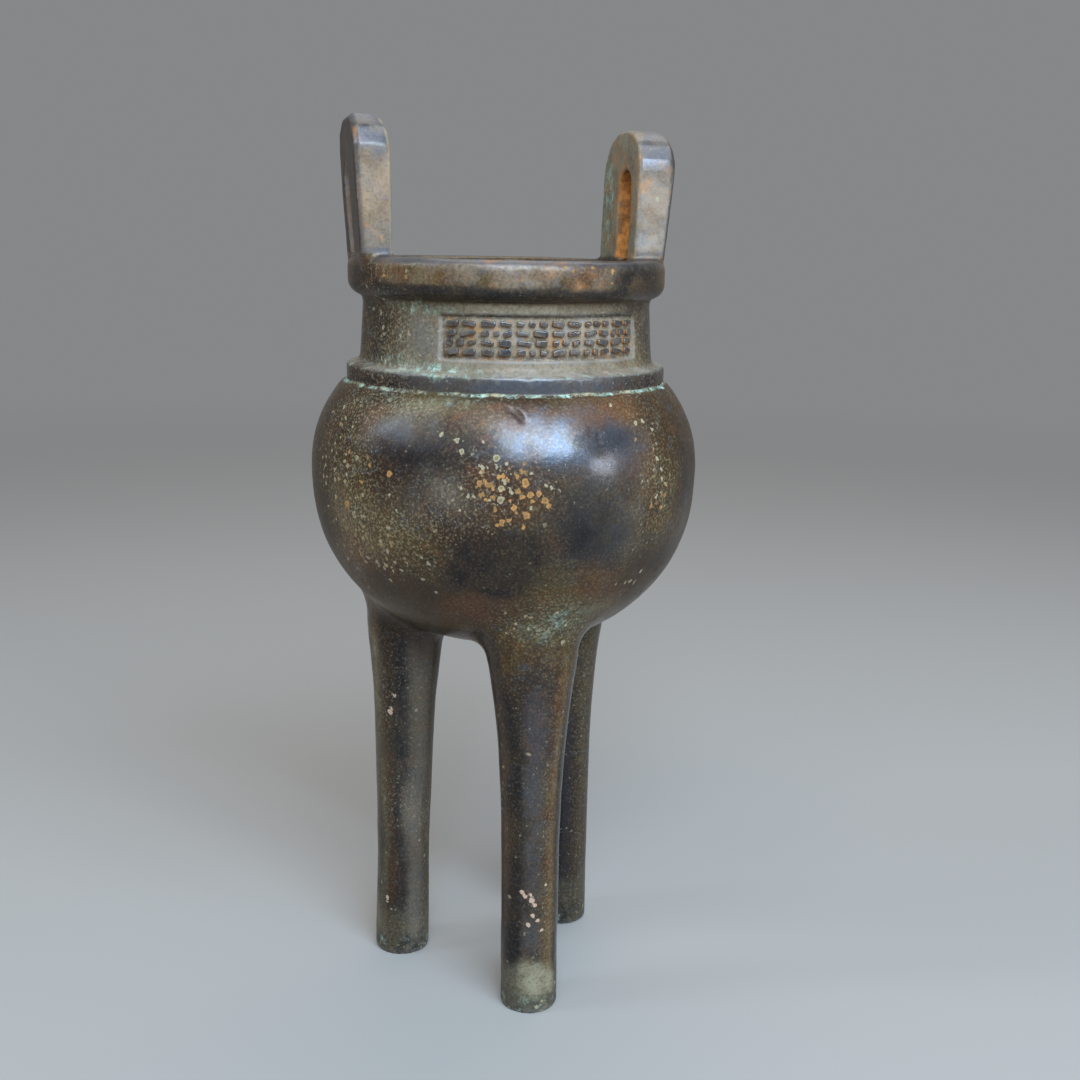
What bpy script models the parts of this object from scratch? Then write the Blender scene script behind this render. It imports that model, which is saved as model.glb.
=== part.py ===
"""A tall three-legged incense burner of copper alloy, cast in one piece.

A round bowl rises through a stepped ridge and a short neck to a thick rim, on which two slotted
handles stand. A sunk panel on the neck holds rows of raised strokes. Metres, +Z up: the origin is
on the ground, on the axis of the bowl, and the panel faces -Y.
"""

import math

import bmesh
import bpy
from mathutils import Matrix, Vector

NAME = "incense_burner"

# Heights, stacked from the ground up
LEG_HEIGHT = 0.0865  # ground to the lowest point of the bowl
BELLY_DEPTH = 0.0422  # lowest point of the bowl to its widest line
SHOULDER_RISE = 0.0204  # widest line to the underside of the ridge
RIDGE_HEIGHT = 0.0040
LEDGE_SLOPE = 0.0004  # rise of the ridge's top from its edge to the neck
NECK_HEIGHT = 0.0150
RIM_HEIGHT = 0.0087

# Radii of the turned body, and its walls
BELLY_RADIUS = 0.0461
NECK_INSET = 0.0122  # from the belly's radius to the waist of the neck
NECK_FOOT_FLARE = 0.0011  # how far the neck spreads at its foot
NECK_HEAD_FLARE = 0.0007  # and under the rim
NECK_WAIST = (0.15, 0.62)  # shares of the neck, from the rim down, between which it is straight
NECK_SPREAD = 0.88  # the share where it has spread by half of its foot's flare
RIDGE_OVERHANG = 0.00350  # ridge beyond the waist of the neck
RIM_OVERHANG = 0.0030  # rim beyond the waist of the neck
RIM_INWARD = 0.0026  # rim inside the bore of the neck
SHOULDER_STEP = 0.0007  # shoulder beyond the ridge, under it
BOWL_WALL = 0.0036
NECK_WALL = 0.0037

# Roundings of the turned body
RIM_OUTER_ROUND = 0.0030
RIM_UNDER_TURN = 80  # degrees that the rim's underside turns in, towards the neck
RIM_INNER_ROUND = 0.0018
RIDGE_ROUND = 0.0007

# Fullness of the bowl's section: 2 is an ellipse, more is squarer
LOWER_FULLNESS = 2.23
UPPER_FULLNESS = 2.16

# Legs: direction from -Y towards +X, in degrees, of the front, left and right one
LEG_DIRECTIONS = {"front": 0.7, "left": -113.2, "right": 121.7}
LEG_CIRCLE_RADIUS = 0.0255  # axis of the bowl to the middle of a foot
LEG_LEAN = 0.0012  # how far a leg's middle moves inwards on its way up
FOOT_RADIUS = 0.00675
FOOT_ROUND = 0.0008
LEG_TOP_GAIN_OUT = 0.0028  # growth of the half width along the radius, from foot to bowl
LEG_TOP_GAIN_SIDE = 0.0038  # growth of the half width across it
LEG_FLARE_POWER = 4.0
LEG_FILLET = 0.0045
OUTER_FILLET_SHARE = 0.35  # share of the fillet on the side that faces away from the axis
LEG_INTO_WALL = 0.0014
LEG_STATIONS = (0.3, 0.55, 0.75, 0.9)  # shares of the straight column that get a ring

# Handles: upright plates on the rim, a cast pair turned half a circle from one another
HANDLE_AXIS = -3.7  # degrees from +X to the middle of the right handle
HANDLE_WIDTH = 0.0284
HANDLE_HEIGHT = 0.0298  # above the rim, of the lower one
HANDLE_THICKNESS = 0.0067  # where it stands on the rim
HANDLE_THICKENING = 0.0015  # more at the top
HANDLE_SHIFT = -0.0010  # both plates sit this far off centre, along their axis
HANDLE_INSET = 0.0002  # inner face beyond the edge of the mouth
HANDLE_INTO_RIM = 0.0030
HANDLE_EDGE = 0.0015
SLOT_WIDTH = 0.0090
SLOT_HEIGHT = 0.0215
SLOT_OFFSET = 0.0038  # middle of the slot from the middle of the plate
HANDLES = {
    "right": {"turn": 0.0, "taller": 0.0, "arch": 0.0098, "fullness": 2.15, "lean": 0.0012},
    "left": {"turn": 180.0, "taller": 0.0014, "arch": 0.0086, "fullness": 2.40, "lean": 0.0004},
}

# Sunk panel on the neck, with rows of raised strokes
PANEL_WIDTH = 0.0485  # along the arc of the neck
PANEL_HEIGHT = 0.0094
PANEL_ABOVE_RIDGE = 0.0027
PANEL_DEPTH = 0.0009
STROKE_GROUPS = 6
STROKE_ROWS = 4
STROKE_THICKNESS = 0.0009
STROKE_RELIEF = 0.0007
STROKE_ROOT = 0.0003  # how far a stroke reaches below the floor of the panel
STROKE_MARGIN = 0.0010  # bare floor around the groups
STROKE_TILT = 9.0  # degrees, to one side and the other by turns
STROKE_SHORT = 0.36  # smallest share of a row that the first of two strokes takes
STROKE_LONGER = 0.08  # how much longer it gets, in two steps

# Facets
TURN_STEPS = 48
LEG_SIDES = 20
ROUND_STEPS = 3
BOWL_STEPS = 12  # outside, from the widest line down
INSIDE_STEPS = 9
SHOULDER_STEPS = 6
DOME_STEPS = 5  # inside, from the widest line up
LIP_STEPS = 3
HANDLE_STEPS = 14
SLOT_STEPS = 8

BELLY_Z = LEG_HEIGHT + BELLY_DEPTH
SHOULDER_Z = BELLY_Z + SHOULDER_RISE
RIDGE_TOP_Z = SHOULDER_Z + RIDGE_HEIGHT
NECK_FOOT_Z = RIDGE_TOP_Z + LEDGE_SLOPE
RIM_UNDER_Z = NECK_FOOT_Z + NECK_HEIGHT
RIM_TOP_Z = RIM_UNDER_Z + RIM_HEIGHT
NECK_RADIUS = BELLY_RADIUS - NECK_INSET
RIDGE_RADIUS = NECK_RADIUS + RIDGE_OVERHANG
RIM_RADIUS = NECK_RADIUS + RIM_OVERHANG
BORE_RADIUS = NECK_RADIUS - NECK_WALL
MOUTH_RADIUS = BORE_RADIUS - RIM_INWARD
PANEL_FLOOR = NECK_RADIUS - PANEL_DEPTH


def clear_scene():
    for obj in list(bpy.data.objects):
        bpy.data.objects.remove(obj, do_unlink=True)


def new_collection(name):
    collection = bpy.data.collections.new(name)
    bpy.context.scene.collection.children.link(collection)
    return collection


def add_mesh_object(name, bm, collection):
    mesh = bpy.data.meshes.new(name)
    bm.to_mesh(mesh)
    bm.free()
    obj = bpy.data.objects.new(name, mesh)
    collection.objects.link(obj)
    return obj


def copper():
    material = bpy.data.materials.new("patinated_copper")
    material.use_nodes = True
    shader = material.node_tree.nodes["Principled BSDF"]
    shader.inputs["Base Color"].default_value = (0.095, 0.066, 0.038, 1.0)
    shader.inputs["Metallic"].default_value = 0.75
    shader.inputs["Roughness"].default_value = 0.42
    return material


def corner(centre_r, centre_z, radius, start, end):
    """Points of a rounded corner in the (r, z) plane, its angles in degrees from +r towards +z."""
    angles = [math.radians(start + (end - start) * i / ROUND_STEPS) for i in range(ROUND_STEPS + 1)]
    return [(centre_r + radius * math.cos(a), centre_z + radius * math.sin(a)) for a in angles]


def shoulder_height(radius, end_radius, rise, fullness):
    """Height of the superellipse that starts at radius and narrows to end_radius over the rise."""
    return rise / (1 - (end_radius / radius) ** fullness) ** (1 / fullness)


def bowl_quarter(radius, height, fullness, low, high, steps):
    """Points (r, distance from the widest line) of a superellipse, from share low to share high."""
    points = []
    for i in range(steps + 1):
        share = i / steps
        a = math.radians(90 * (low * (1 - share) + high * share))
        points.append((radius * math.cos(a) ** (2 / fullness), height * math.sin(a) ** (2 / fullness)))
    return points


def bowl_share(height, distance, fullness):
    """The share of the quarter at which the superellipse is this far from its widest line."""
    return math.degrees(math.asin((distance / height) ** (fullness / 2))) / 90


def underside_z(radius):
    """Height of the bowl's outer surface below its widest line, at this distance from the axis."""
    share = min(radius / BELLY_RADIUS, 1.0)
    return BELLY_Z - BELLY_DEPTH * (1 - share**LOWER_FULLNESS) ** (1 / LOWER_FULLNESS)


def inner_profile():
    """The inside, from the middle of the floor up to the flat top of the rim."""
    radius = BELLY_RADIUS - BOWL_WALL
    floor = bowl_quarter(radius, BELLY_DEPTH - BOWL_WALL, LOWER_FULLNESS, 1, 0, INSIDE_STEPS)
    points = [(0.0 if i == 0 else r, BELLY_Z - d) for i, (r, d) in enumerate(floor)]
    outer_radius = RIDGE_RADIUS + SHOULDER_STEP
    dome = shoulder_height(BELLY_RADIUS, outer_radius, SHOULDER_RISE, UPPER_FULLNESS) - BOWL_WALL
    reach = dome * (1 - (BORE_RADIUS / radius) ** UPPER_FULLNESS) ** (1 / UPPER_FULLNESS)
    high = bowl_share(dome, reach, UPPER_FULLNESS)
    ceiling = bowl_quarter(radius, dome, UPPER_FULLNESS, 0, high, DOME_STEPS)
    points += [(r, BELLY_Z + d) for r, d in ceiling[1:]]
    lip_foot = RIM_UNDER_Z - RIM_INWARD
    for i in range(LIP_STEPS + 1):
        share = i / LIP_STEPS
        ease = (1 - math.cos(math.pi * share)) / 2
        points.append((BORE_RADIUS - RIM_INWARD * ease, lip_foot + 2 * RIM_INWARD * share))
    points += corner(
        MOUTH_RADIUS + RIM_INNER_ROUND, RIM_TOP_Z - RIM_INNER_ROUND, RIM_INNER_ROUND, 180, 90
    )
    return points


def outer_profile():
    """The outside, from the flat top of the rim down to the lowest point of the bowl."""
    inset = RIM_RADIUS - RIM_OUTER_ROUND
    points = corner(inset, RIM_TOP_Z - RIM_OUTER_ROUND, RIM_OUTER_ROUND, 90, 0)
    points += corner(inset, RIM_UNDER_Z + RIM_OUTER_ROUND, RIM_OUTER_ROUND, 0, -RIM_UNDER_TURN)
    points.append((NECK_RADIUS + NECK_HEAD_FLARE, RIM_UNDER_Z))
    for share in NECK_WAIST:
        points.append((NECK_RADIUS, RIM_UNDER_Z - NECK_HEIGHT * share))
    points.append((NECK_RADIUS + NECK_FOOT_FLARE / 2, RIM_UNDER_Z - NECK_HEIGHT * NECK_SPREAD))
    points.append((NECK_RADIUS + NECK_FOOT_FLARE, NECK_FOOT_Z))
    edge = RIDGE_RADIUS - RIDGE_ROUND
    points += corner(edge, RIDGE_TOP_Z - RIDGE_ROUND, RIDGE_ROUND, 90, 0)
    points += corner(edge, SHOULDER_Z + RIDGE_ROUND, RIDGE_ROUND, 0, -90)
    radius = RIDGE_RADIUS + SHOULDER_STEP
    height = shoulder_height(BELLY_RADIUS, radius, SHOULDER_RISE, UPPER_FULLNESS)
    low = bowl_share(height, SHOULDER_RISE - RIDGE_ROUND, UPPER_FULLNESS)
    shoulder = bowl_quarter(BELLY_RADIUS, height, UPPER_FULLNESS, low, 0, SHOULDER_STEPS)
    points += [(r, BELLY_Z + d) for r, d in shoulder]
    belly = bowl_quarter(BELLY_RADIUS, BELLY_DEPTH, LOWER_FULLNESS, 0, 1, BOWL_STEPS)
    points += [(r, BELLY_Z - d) for r, d in belly[1:-1]]
    points.append((0.0, LEG_HEIGHT))
    return points


def turned_body(collection):
    """The hollow bowl, neck and rim, turned from one profile that runs from inside to outside."""
    bm = bmesh.new()
    verts = [bm.verts.new((r, 0.0, z)) for r, z in inner_profile() + outer_profile()]
    for first, second in zip(verts, verts[1:]):
        bm.edges.new((first, second))
    body = add_mesh_object(NAME, bm, collection)
    screw = body.modifiers.new("turn", "SCREW")
    screw.axis = "Z"
    screw.steps = TURN_STEPS
    screw.render_steps = TURN_STEPS
    screw.use_merge_vertices = True
    screw.merge_threshold = 0.0001
    screw.use_smooth_shade = True
    return body


def leg_point(height, side):
    """Where the leg's skin is, in (along the radius, across it), at this height and side angle."""
    share = height / LEG_HEIGHT
    flare = share**LEG_FLARE_POWER
    middle = LEG_CIRCLE_RADIUS - LEG_LEAN * share
    out = (FOOT_RADIUS + LEG_TOP_GAIN_OUT * flare) * math.cos(side)
    across = (FOOT_RADIUS + LEG_TOP_GAIN_SIDE * flare) * math.sin(side)
    return Vector((middle + out, across))


def leg_side_points(side):
    """One line up the leg: foot, column, the fillet into the bowl, and a last point in its wall."""
    middle = leg_point(LEG_HEIGHT, side)
    outward = Vector((math.cos(side), math.sin(side)))
    fillet = LEG_FILLET * (1 - (1 - OUTER_FILLET_SHARE) * max(0.0, math.cos(side)))
    top = underside_z((middle + outward * fillet).length)
    points = [leg_point(0.0, side) - outward * FOOT_ROUND, leg_point(FOOT_ROUND, side)]
    heights = [0.0, FOOT_ROUND]
    column_top = top - fillet
    for share in LEG_STATIONS:
        heights.append(column_top * share)
        points.append(leg_point(heights[-1], side))
    for i in range(ROUND_STEPS + 1):
        turn = math.pi / 2 * i / ROUND_STEPS
        heights.append(column_top + fillet * math.sin(turn))
        column = leg_point(min(heights[-1], LEG_HEIGHT), side)
        points.append(column + outward * fillet * (1 - math.cos(turn)))
    points.append(points[-1])
    heights.append(underside_z(points[-1].length) + LEG_INTO_WALL)
    return [(p.x, p.y, z) for p, z in zip(points, heights)]


def leg(name, direction, collection):
    """A column whose section grows from round to oval and spreads into the bowl's underside."""
    sides = [leg_side_points(2 * math.pi * i / LEG_SIDES) for i in range(LEG_SIDES)]
    bm = bmesh.new()
    rings = [[bm.verts.new(point) for point in ring] for ring in zip(*sides)]
    for low, high in zip(rings, rings[1:]):
        for i in range(LEG_SIDES):
            j = (i + 1) % LEG_SIDES
            bm.faces.new((low[i], low[j], high[j], high[i]))
    bm.faces.new(list(reversed(rings[0])))
    bm.faces.new(rings[-1])
    turn = Matrix.Rotation(math.radians(direction - 90), 4, "Z")
    bmesh.ops.transform(bm, matrix=turn, verts=bm.verts)
    bmesh.ops.recalc_face_normals(bm, faces=bm.faces)
    return add_mesh_object(name, bm, collection)


def arched_outline(width, foot, top, arch, fullness, steps):
    """An upright outline in the plane: a flat foot, straight sides and an arched head."""
    points = [(-width / 2, foot), (width / 2, foot)]
    for i in range(steps + 1):
        a = math.pi * i / steps
        across = math.copysign(abs(math.cos(a)) ** (2 / fullness), math.cos(a))
        points.append((width / 2 * across, top - arch + arch * math.sin(a) ** (2 / fullness)))
    return points


def add_outline(curve, points, shift=0.0):
    spline = curve.splines.new("POLY")
    spline.points.add(len(points) - 1)
    for spot, (x, y) in zip(spline.points, points):
        spot.co = (x + shift, y, 0.0, 1.0)
    spline.use_cyclic_u = True


def flat_plate(name, outlines, collection):
    """A slotted plate, 2 thick about its own plane, made a mesh from a filled flat curve."""
    curve = bpy.data.curves.new(name, "CURVE")
    curve.dimensions = "2D"
    curve.fill_mode = "BOTH"
    curve.extrude = 1.0
    for points, shift in outlines:
        add_outline(curve, points, shift)
    guide = bpy.data.objects.new(name + "_outline", curve)
    collection.objects.link(guide)
    bpy.context.view_layer.update()
    evaluated = guide.evaluated_get(bpy.context.evaluated_depsgraph_get())
    mesh = bpy.data.meshes.new_from_object(evaluated)
    bm = bmesh.new()
    bm.from_mesh(mesh)
    bmesh.ops.remove_doubles(bm, verts=bm.verts, dist=1e-6)
    bpy.data.meshes.remove(mesh)
    bpy.data.objects.remove(guide, do_unlink=True)
    return bm


def handle(name, spec, collection):
    """A plate that leans outwards and thickens towards its arched head, with an arched slot."""
    height = HANDLE_HEIGHT + spec["taller"]
    outline = arched_outline(
        HANDLE_WIDTH, -HANDLE_INTO_RIM, height, spec["arch"], spec["fullness"], HANDLE_STEPS
    )
    slot = arched_outline(
        SLOT_WIDTH, -HANDLE_INTO_RIM / 2, SLOT_HEIGHT, SLOT_WIDTH / 2, 2.0, SLOT_STEPS
    )
    bm = flat_plate(name, [(outline, 0.0), (slot, -SLOT_OFFSET)], collection)
    inner_face = MOUTH_RADIUS + HANDLE_INSET
    for vert in bm.verts:
        across, up, face = vert.co
        share = max(0.0, up) / height
        ease = math.sin(math.pi / 2 * min(1.0, share))
        out = inner_face + spec["lean"] * share
        if face > 0:
            out += HANDLE_THICKNESS + HANDLE_THICKENING * ease
        vert.co = (out, across, RIM_TOP_Z + up)
    bmesh.ops.recalc_face_normals(bm, faces=bm.faces)
    turn = Matrix.Rotation(math.radians(HANDLE_AXIS + spec["turn"]), 4, "Z")
    shift = Matrix.Rotation(math.radians(HANDLE_AXIS), 4, "Z") @ Vector((HANDLE_SHIFT, 0, 0))
    bmesh.ops.transform(bm, matrix=Matrix.Translation(shift) @ turn, verts=bm.verts)
    obj = add_mesh_object(name, bm, collection)
    edge = obj.modifiers.new("worn edges", "BEVEL")
    edge.width = HANDLE_EDGE
    edge.segments = 2
    edge.limit_method = "ANGLE"
    edge.angle_limit = math.radians(40)
    return obj


def panel_cutter(collection):
    """A sector of a ring that sinks the panel's floor below the skin of the neck."""
    low = NECK_FOOT_Z + PANEL_ABOVE_RIDGE
    high = low + PANEL_HEIGHT
    outside = RIM_RADIUS + RIM_OVERHANG
    half = PANEL_WIDTH / NECK_RADIUS / 2
    bm = bmesh.new()
    ring = [(PANEL_FLOOR, low), (outside, low), (outside, high), (PANEL_FLOOR, high)]
    verts = [bm.verts.new((r, 0.0, z)) for r, z in ring]
    face = bm.faces.new(verts)
    bmesh.ops.rotate(
        bm, verts=verts, cent=(0, 0, 0), matrix=Matrix.Rotation(-math.pi / 2 - half, 3, "Z")
    )
    bmesh.ops.spin(
        bm,
        geom=verts + list(face.edges) + [face],
        cent=(0, 0, 0),
        axis=(0, 0, 1),
        angle=2 * half,
        steps=TURN_STEPS // 4,
    )
    bmesh.ops.remove_doubles(bm, verts=bm.verts, dist=1e-6)
    bmesh.ops.recalc_face_normals(bm, faces=bm.faces)
    return add_mesh_object("panel_cutter", bm, collection)


def stroke_lengths(group, row, room):
    """Lengths of the strokes in one row of a group, one or two by turns, with a gap between them."""
    if (group + row) % 2:
        return [room]
    first = room * (STROKE_SHORT + STROKE_LONGER * ((group + 2 * row) % 3))
    return [first, room - first - STROKE_THICKNESS]


def panel_strokes(collection):
    """Short raised bars in rows, in groups side by side: they stand for writing and spell nothing."""
    bm = bmesh.new()
    pitch = (PANEL_WIDTH - 2 * STROKE_MARGIN) / STROKE_GROUPS
    room = pitch - 2 * STROKE_MARGIN
    row_pitch = (PANEL_HEIGHT - 2 * STROKE_MARGIN) / STROKE_ROWS
    low = NECK_FOOT_Z + PANEL_ABOVE_RIDGE + STROKE_MARGIN
    depth = STROKE_ROOT + STROKE_RELIEF
    middle = PANEL_FLOOR - STROKE_ROOT + depth / 2
    for group in range(STROKE_GROUPS):
        start = (group - STROKE_GROUPS / 2) * pitch + STROKE_MARGIN
        for row in range(STROKE_ROWS):
            along = start
            z = low + (row + 0.5) * row_pitch
            for length in stroke_lengths(group, row, room):
                tilt = math.radians(STROKE_TILT * (-1) ** (group + row))
                size = Matrix.Diagonal((length, depth, STROKE_THICKNESS, 1.0))
                place = Matrix.Translation((0, -middle, z)) @ Matrix.Rotation(tilt, 4, "Y")
                turn = Matrix.Rotation((along + length / 2) / NECK_RADIUS, 4, "Z")
                bmesh.ops.create_cube(bm, size=1.0, matrix=turn @ place @ size)
                along += length + STROKE_THICKNESS
    return add_mesh_object("panel_strokes", bm, collection)


def combine(body, other, operation):
    """Joins or cuts the body with a helper, which stays in the file as a hidden wire object."""
    other.hide_render = True
    other.display_type = "WIRE"
    boolean = body.modifiers.new(other.name, "BOOLEAN")
    boolean.operation = operation
    boolean.solver = "EXACT"
    boolean.object = other


def main():
    clear_scene()
    parts = new_collection(NAME)
    helpers = new_collection(NAME + "_helpers")
    helpers.hide_render = True
    body = turned_body(parts)
    for side, direction in LEG_DIRECTIONS.items():
        combine(body, leg("leg_" + side, direction, helpers), "UNION")
    for side, spec in HANDLES.items():
        combine(body, handle("handle_" + side, spec, helpers), "UNION")
    combine(body, panel_cutter(helpers), "DIFFERENCE")
    combine(body, panel_strokes(helpers), "UNION")
    body.data.materials.append(copper())


main()
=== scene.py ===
import math
import random

import bmesh
import bpy
import numpy as np
from mathutils import Matrix, Vector
from mathutils.kdtree import KDTree


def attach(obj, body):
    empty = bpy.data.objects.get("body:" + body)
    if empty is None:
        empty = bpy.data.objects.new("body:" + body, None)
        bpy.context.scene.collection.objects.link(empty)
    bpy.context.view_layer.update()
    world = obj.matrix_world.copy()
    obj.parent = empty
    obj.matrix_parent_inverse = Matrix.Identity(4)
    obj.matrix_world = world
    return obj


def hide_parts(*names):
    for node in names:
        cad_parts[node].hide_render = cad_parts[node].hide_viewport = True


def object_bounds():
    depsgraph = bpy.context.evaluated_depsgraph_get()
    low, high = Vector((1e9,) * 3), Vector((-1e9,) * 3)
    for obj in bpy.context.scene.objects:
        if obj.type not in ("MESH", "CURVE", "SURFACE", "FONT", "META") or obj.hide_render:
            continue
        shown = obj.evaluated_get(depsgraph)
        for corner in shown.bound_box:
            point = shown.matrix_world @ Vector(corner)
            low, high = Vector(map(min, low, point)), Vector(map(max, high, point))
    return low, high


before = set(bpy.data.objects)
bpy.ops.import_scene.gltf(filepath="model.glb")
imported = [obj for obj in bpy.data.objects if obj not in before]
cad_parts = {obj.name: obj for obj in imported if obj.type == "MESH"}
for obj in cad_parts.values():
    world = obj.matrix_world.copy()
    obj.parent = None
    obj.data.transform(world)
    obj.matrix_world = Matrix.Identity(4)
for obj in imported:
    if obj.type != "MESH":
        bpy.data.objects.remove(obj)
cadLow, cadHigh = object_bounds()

# the turned body: heights are stacked from the ground up, in metres
vessel = {
    "legHeight": 0.0865,  # ground to the lowest point of the bowl
    "bellyDepth": 0.0422,
    "shoulderRise": 0.0204,
    "ridgeHeight": 0.0040,
    "ledgeSlope": 0.0004,
    "neckHeight": 0.0150,
    "rimHeight": 0.0087,
    "bellyRadius": cadHigh.x - 0.0002,
    "neckRadius": 0.0339,  # in the middle of its height
    "neckTaper": 0.0010,  # wider at its foot than under the rim
    "neckFootFlare": 0.0005,
    "neckHeadFlare": 0.0006,
    "headFlareEnd": 0.12,  # shares of the way down the neck
    "footFlareStart": 0.93,
    "footFlareLength": 0.07,
    "ridgeRadius": 0.0374,
    "ridgeRound": 0.0006,
    "shoulderStep": 0.0007,
    "rimRadius": 0.0369,
    "rimTopRound": 0.0022,
    "rimUnderRound": 0.0034,
    "rimInnerRound": 0.0016,
    "boreRadius": 0.0302,
    "mouthRadius": 0.0276,
    "bowlWall": 0.0036,
    "lowerFullness": 2.23,  # 2 is an ellipse, more is squarer
    "upperFullness": 2.16,
    "turnSteps": 240,
    "curveSteps": 64,
    "neckSteps": 20,
    "mouthSteps": 8,
}
vessel["bellyZ"] = vessel["legHeight"] + vessel["bellyDepth"]
vessel["shoulderZ"] = vessel["bellyZ"] + vessel["shoulderRise"]
vessel["ridgeTopZ"] = vessel["shoulderZ"] + vessel["ridgeHeight"]
vessel["neckFootZ"] = vessel["ridgeTopZ"] + vessel["ledgeSlope"]
vessel["rimUnderZ"] = vessel["neckFootZ"] + vessel["neckHeight"]
vessel["rimTopZ"] = vessel["rimUnderZ"] + vessel["rimHeight"]


def roundCorner(r, z, radius, start, end, steps=8):
    # a rounded corner of the profile, angles in degrees from outwards to upwards
    turns = [math.radians(start + (end - start) * i / steps) for i in range(steps + 1)]
    return [(r + radius * math.cos(a), z + radius * math.sin(a)) for a in turns]


def bowlCurve(radius, height, fullness, low, high, steps):
    # a quarter of a superellipse, from share low to share high of the quarter
    points = []
    for i in range(steps + 1):
        share = low + (high - low) * i / steps
        a = min(math.pi / 2, math.pi / 2 * share)
        points.append((radius * math.cos(a) ** (2 / fullness), height * math.sin(a) ** (2 / fullness)))
    return points


def domeHeight(radius, end, rise, fullness):
    return rise / (1 - (end / radius) ** fullness) ** (1 / fullness)


def curveShare(height, distance, fullness):
    return math.asin((distance / height) ** (fullness / 2)) / (math.pi / 2)


def bowlUnderside(radius):
    share = min(radius / vessel["bellyRadius"], 1.0)
    full = vessel["lowerFullness"]
    return vessel["bellyZ"] - vessel["bellyDepth"] * (1 - share**full) ** (1 / full)


def insideProfile():
    v = vessel
    radius = v["bellyRadius"] - v["bowlWall"]
    floor = bowlCurve(radius, v["bellyDepth"] - v["bowlWall"], v["lowerFullness"], 1, 0, v["curveSteps"])
    points = [(0.0 if i == 0 else r, v["bellyZ"] - d) for i, (r, d) in enumerate(floor)]
    end = v["ridgeRadius"] + v["shoulderStep"]
    dome = domeHeight(v["bellyRadius"], end, v["shoulderRise"], v["upperFullness"]) - v["bowlWall"]
    reach = dome * (1 - (v["boreRadius"] / radius) ** v["upperFullness"]) ** (1 / v["upperFullness"])
    high = curveShare(dome, reach, v["upperFullness"])
    ceiling = bowlCurve(radius, dome, v["upperFullness"], 0, high, v["curveSteps"] // 2)
    points += [(r, v["bellyZ"] + d) for r, d in ceiling[1:]]
    inward = v["boreRadius"] - v["mouthRadius"]
    for i in range(v["mouthSteps"] + 1):
        share = i / v["mouthSteps"]
        ease = (1 - math.cos(math.pi * share)) / 2
        points.append((v["boreRadius"] - inward * ease, v["rimUnderZ"] - inward + 2 * inward * share))
    lip = v["rimInnerRound"]
    return points + roundCorner(v["mouthRadius"] + lip, v["rimTopZ"] - lip, lip, 180, 90)


def outsideProfile():
    v = vessel
    top, under = v["rimTopRound"], v["rimUnderRound"]
    points = roundCorner(v["rimRadius"] - top, v["rimTopZ"] - top, top, 90, 0)
    points += roundCorner(v["rimRadius"] - under, v["rimUnderZ"] + under, under, 0, -85)
    for i in range(1, v["neckSteps"] + 1):
        share = i / v["neckSteps"]
        flare = v["neckHeadFlare"] * max(0.0, 1 - share / v["headFlareEnd"]) ** 2
        footShare = max(0.0, (share - v["footFlareStart"]) / v["footFlareLength"])
        flare += v["neckFootFlare"] * footShare**2 + v["neckTaper"] * (share - 0.5)
        points.append((v["neckRadius"] + flare, v["rimUnderZ"] - v["neckHeight"] * share))
    edge = v["ridgeRadius"] - v["ridgeRound"]
    points += roundCorner(edge, v["ridgeTopZ"] - v["ridgeRound"], v["ridgeRound"], 90, 0, 4)
    points += roundCorner(edge, v["shoulderZ"] + v["ridgeRound"], v["ridgeRound"], 0, -90, 4)
    end = v["ridgeRadius"] + v["shoulderStep"]
    height = domeHeight(v["bellyRadius"], end, v["shoulderRise"], v["upperFullness"])
    low = curveShare(height, v["shoulderRise"] - v["ridgeRound"], v["upperFullness"])
    shoulder = bowlCurve(v["bellyRadius"], height, v["upperFullness"], low, 0, v["curveSteps"] // 2)
    points += [(r, v["bellyZ"] + d) for r, d in shoulder]
    belly = bowlCurve(v["bellyRadius"], v["bellyDepth"], v["lowerFullness"], 0, 1, v["curveSteps"])
    points += [(r, v["bellyZ"] - d) for r, d in belly[1:-1]]
    return points + [(0.0, v["legHeight"])]


def turnVessel(bm):
    verts = [bm.verts.new((r, 0.0, z)) for r, z in insideProfile() + outsideProfile()]
    edges = [bm.edges.new(pair) for pair in zip(verts, verts[1:])]
    bmesh.ops.spin(
        bm, geom=verts + edges, cent=(0, 0, 0), axis=(0, 0, 1), angle=2 * math.pi,
        steps=vessel["turnSteps"], use_merge=True,
    )
    bmesh.ops.remove_doubles(bm, verts=bm.verts, dist=1e-6)
    bmesh.ops.recalc_face_normals(bm, faces=bm.faces)


leg = {
    "directions": (0.7, -113.2, 121.7),  # degrees from the front towards +X
    "circle": 0.0255,
    "lean": 0.0012,
    "footRadius": 0.00675,
    "footRound": 0.0009,
    "footSteps": 3,
    "gainOut": 0.0028,
    "gainSide": 0.0038,
    "flarePower": 4.0,
    "blend": 0.0058,  # reach of the soft fillet between leg and bowl
    "blendNear": 0.4,  # share of that reach from which a point is moved
    "blendDepth": 0.0015,  # inside the bowl's skin, where it ends
    "blendFrom": 0.5,  # share of the leg's height
    "blendTo": 0.0040,  # below the widest part of the belly
    "blendRounds": 3,
    "intoWall": 0.0014,
    "sides": 60,
    "levels": 30,
}


def legSize(height):
    # middle of the leg from the axis, and its half widths along and across the radius
    share = np.clip(height / vessel["legHeight"], 0, 1)
    flare = share ** leg["flarePower"]
    along = leg["footRadius"] + leg["gainOut"] * flare
    return leg["circle"] - leg["lean"] * share, along, leg["footRadius"] + leg["gainSide"] * flare


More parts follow.
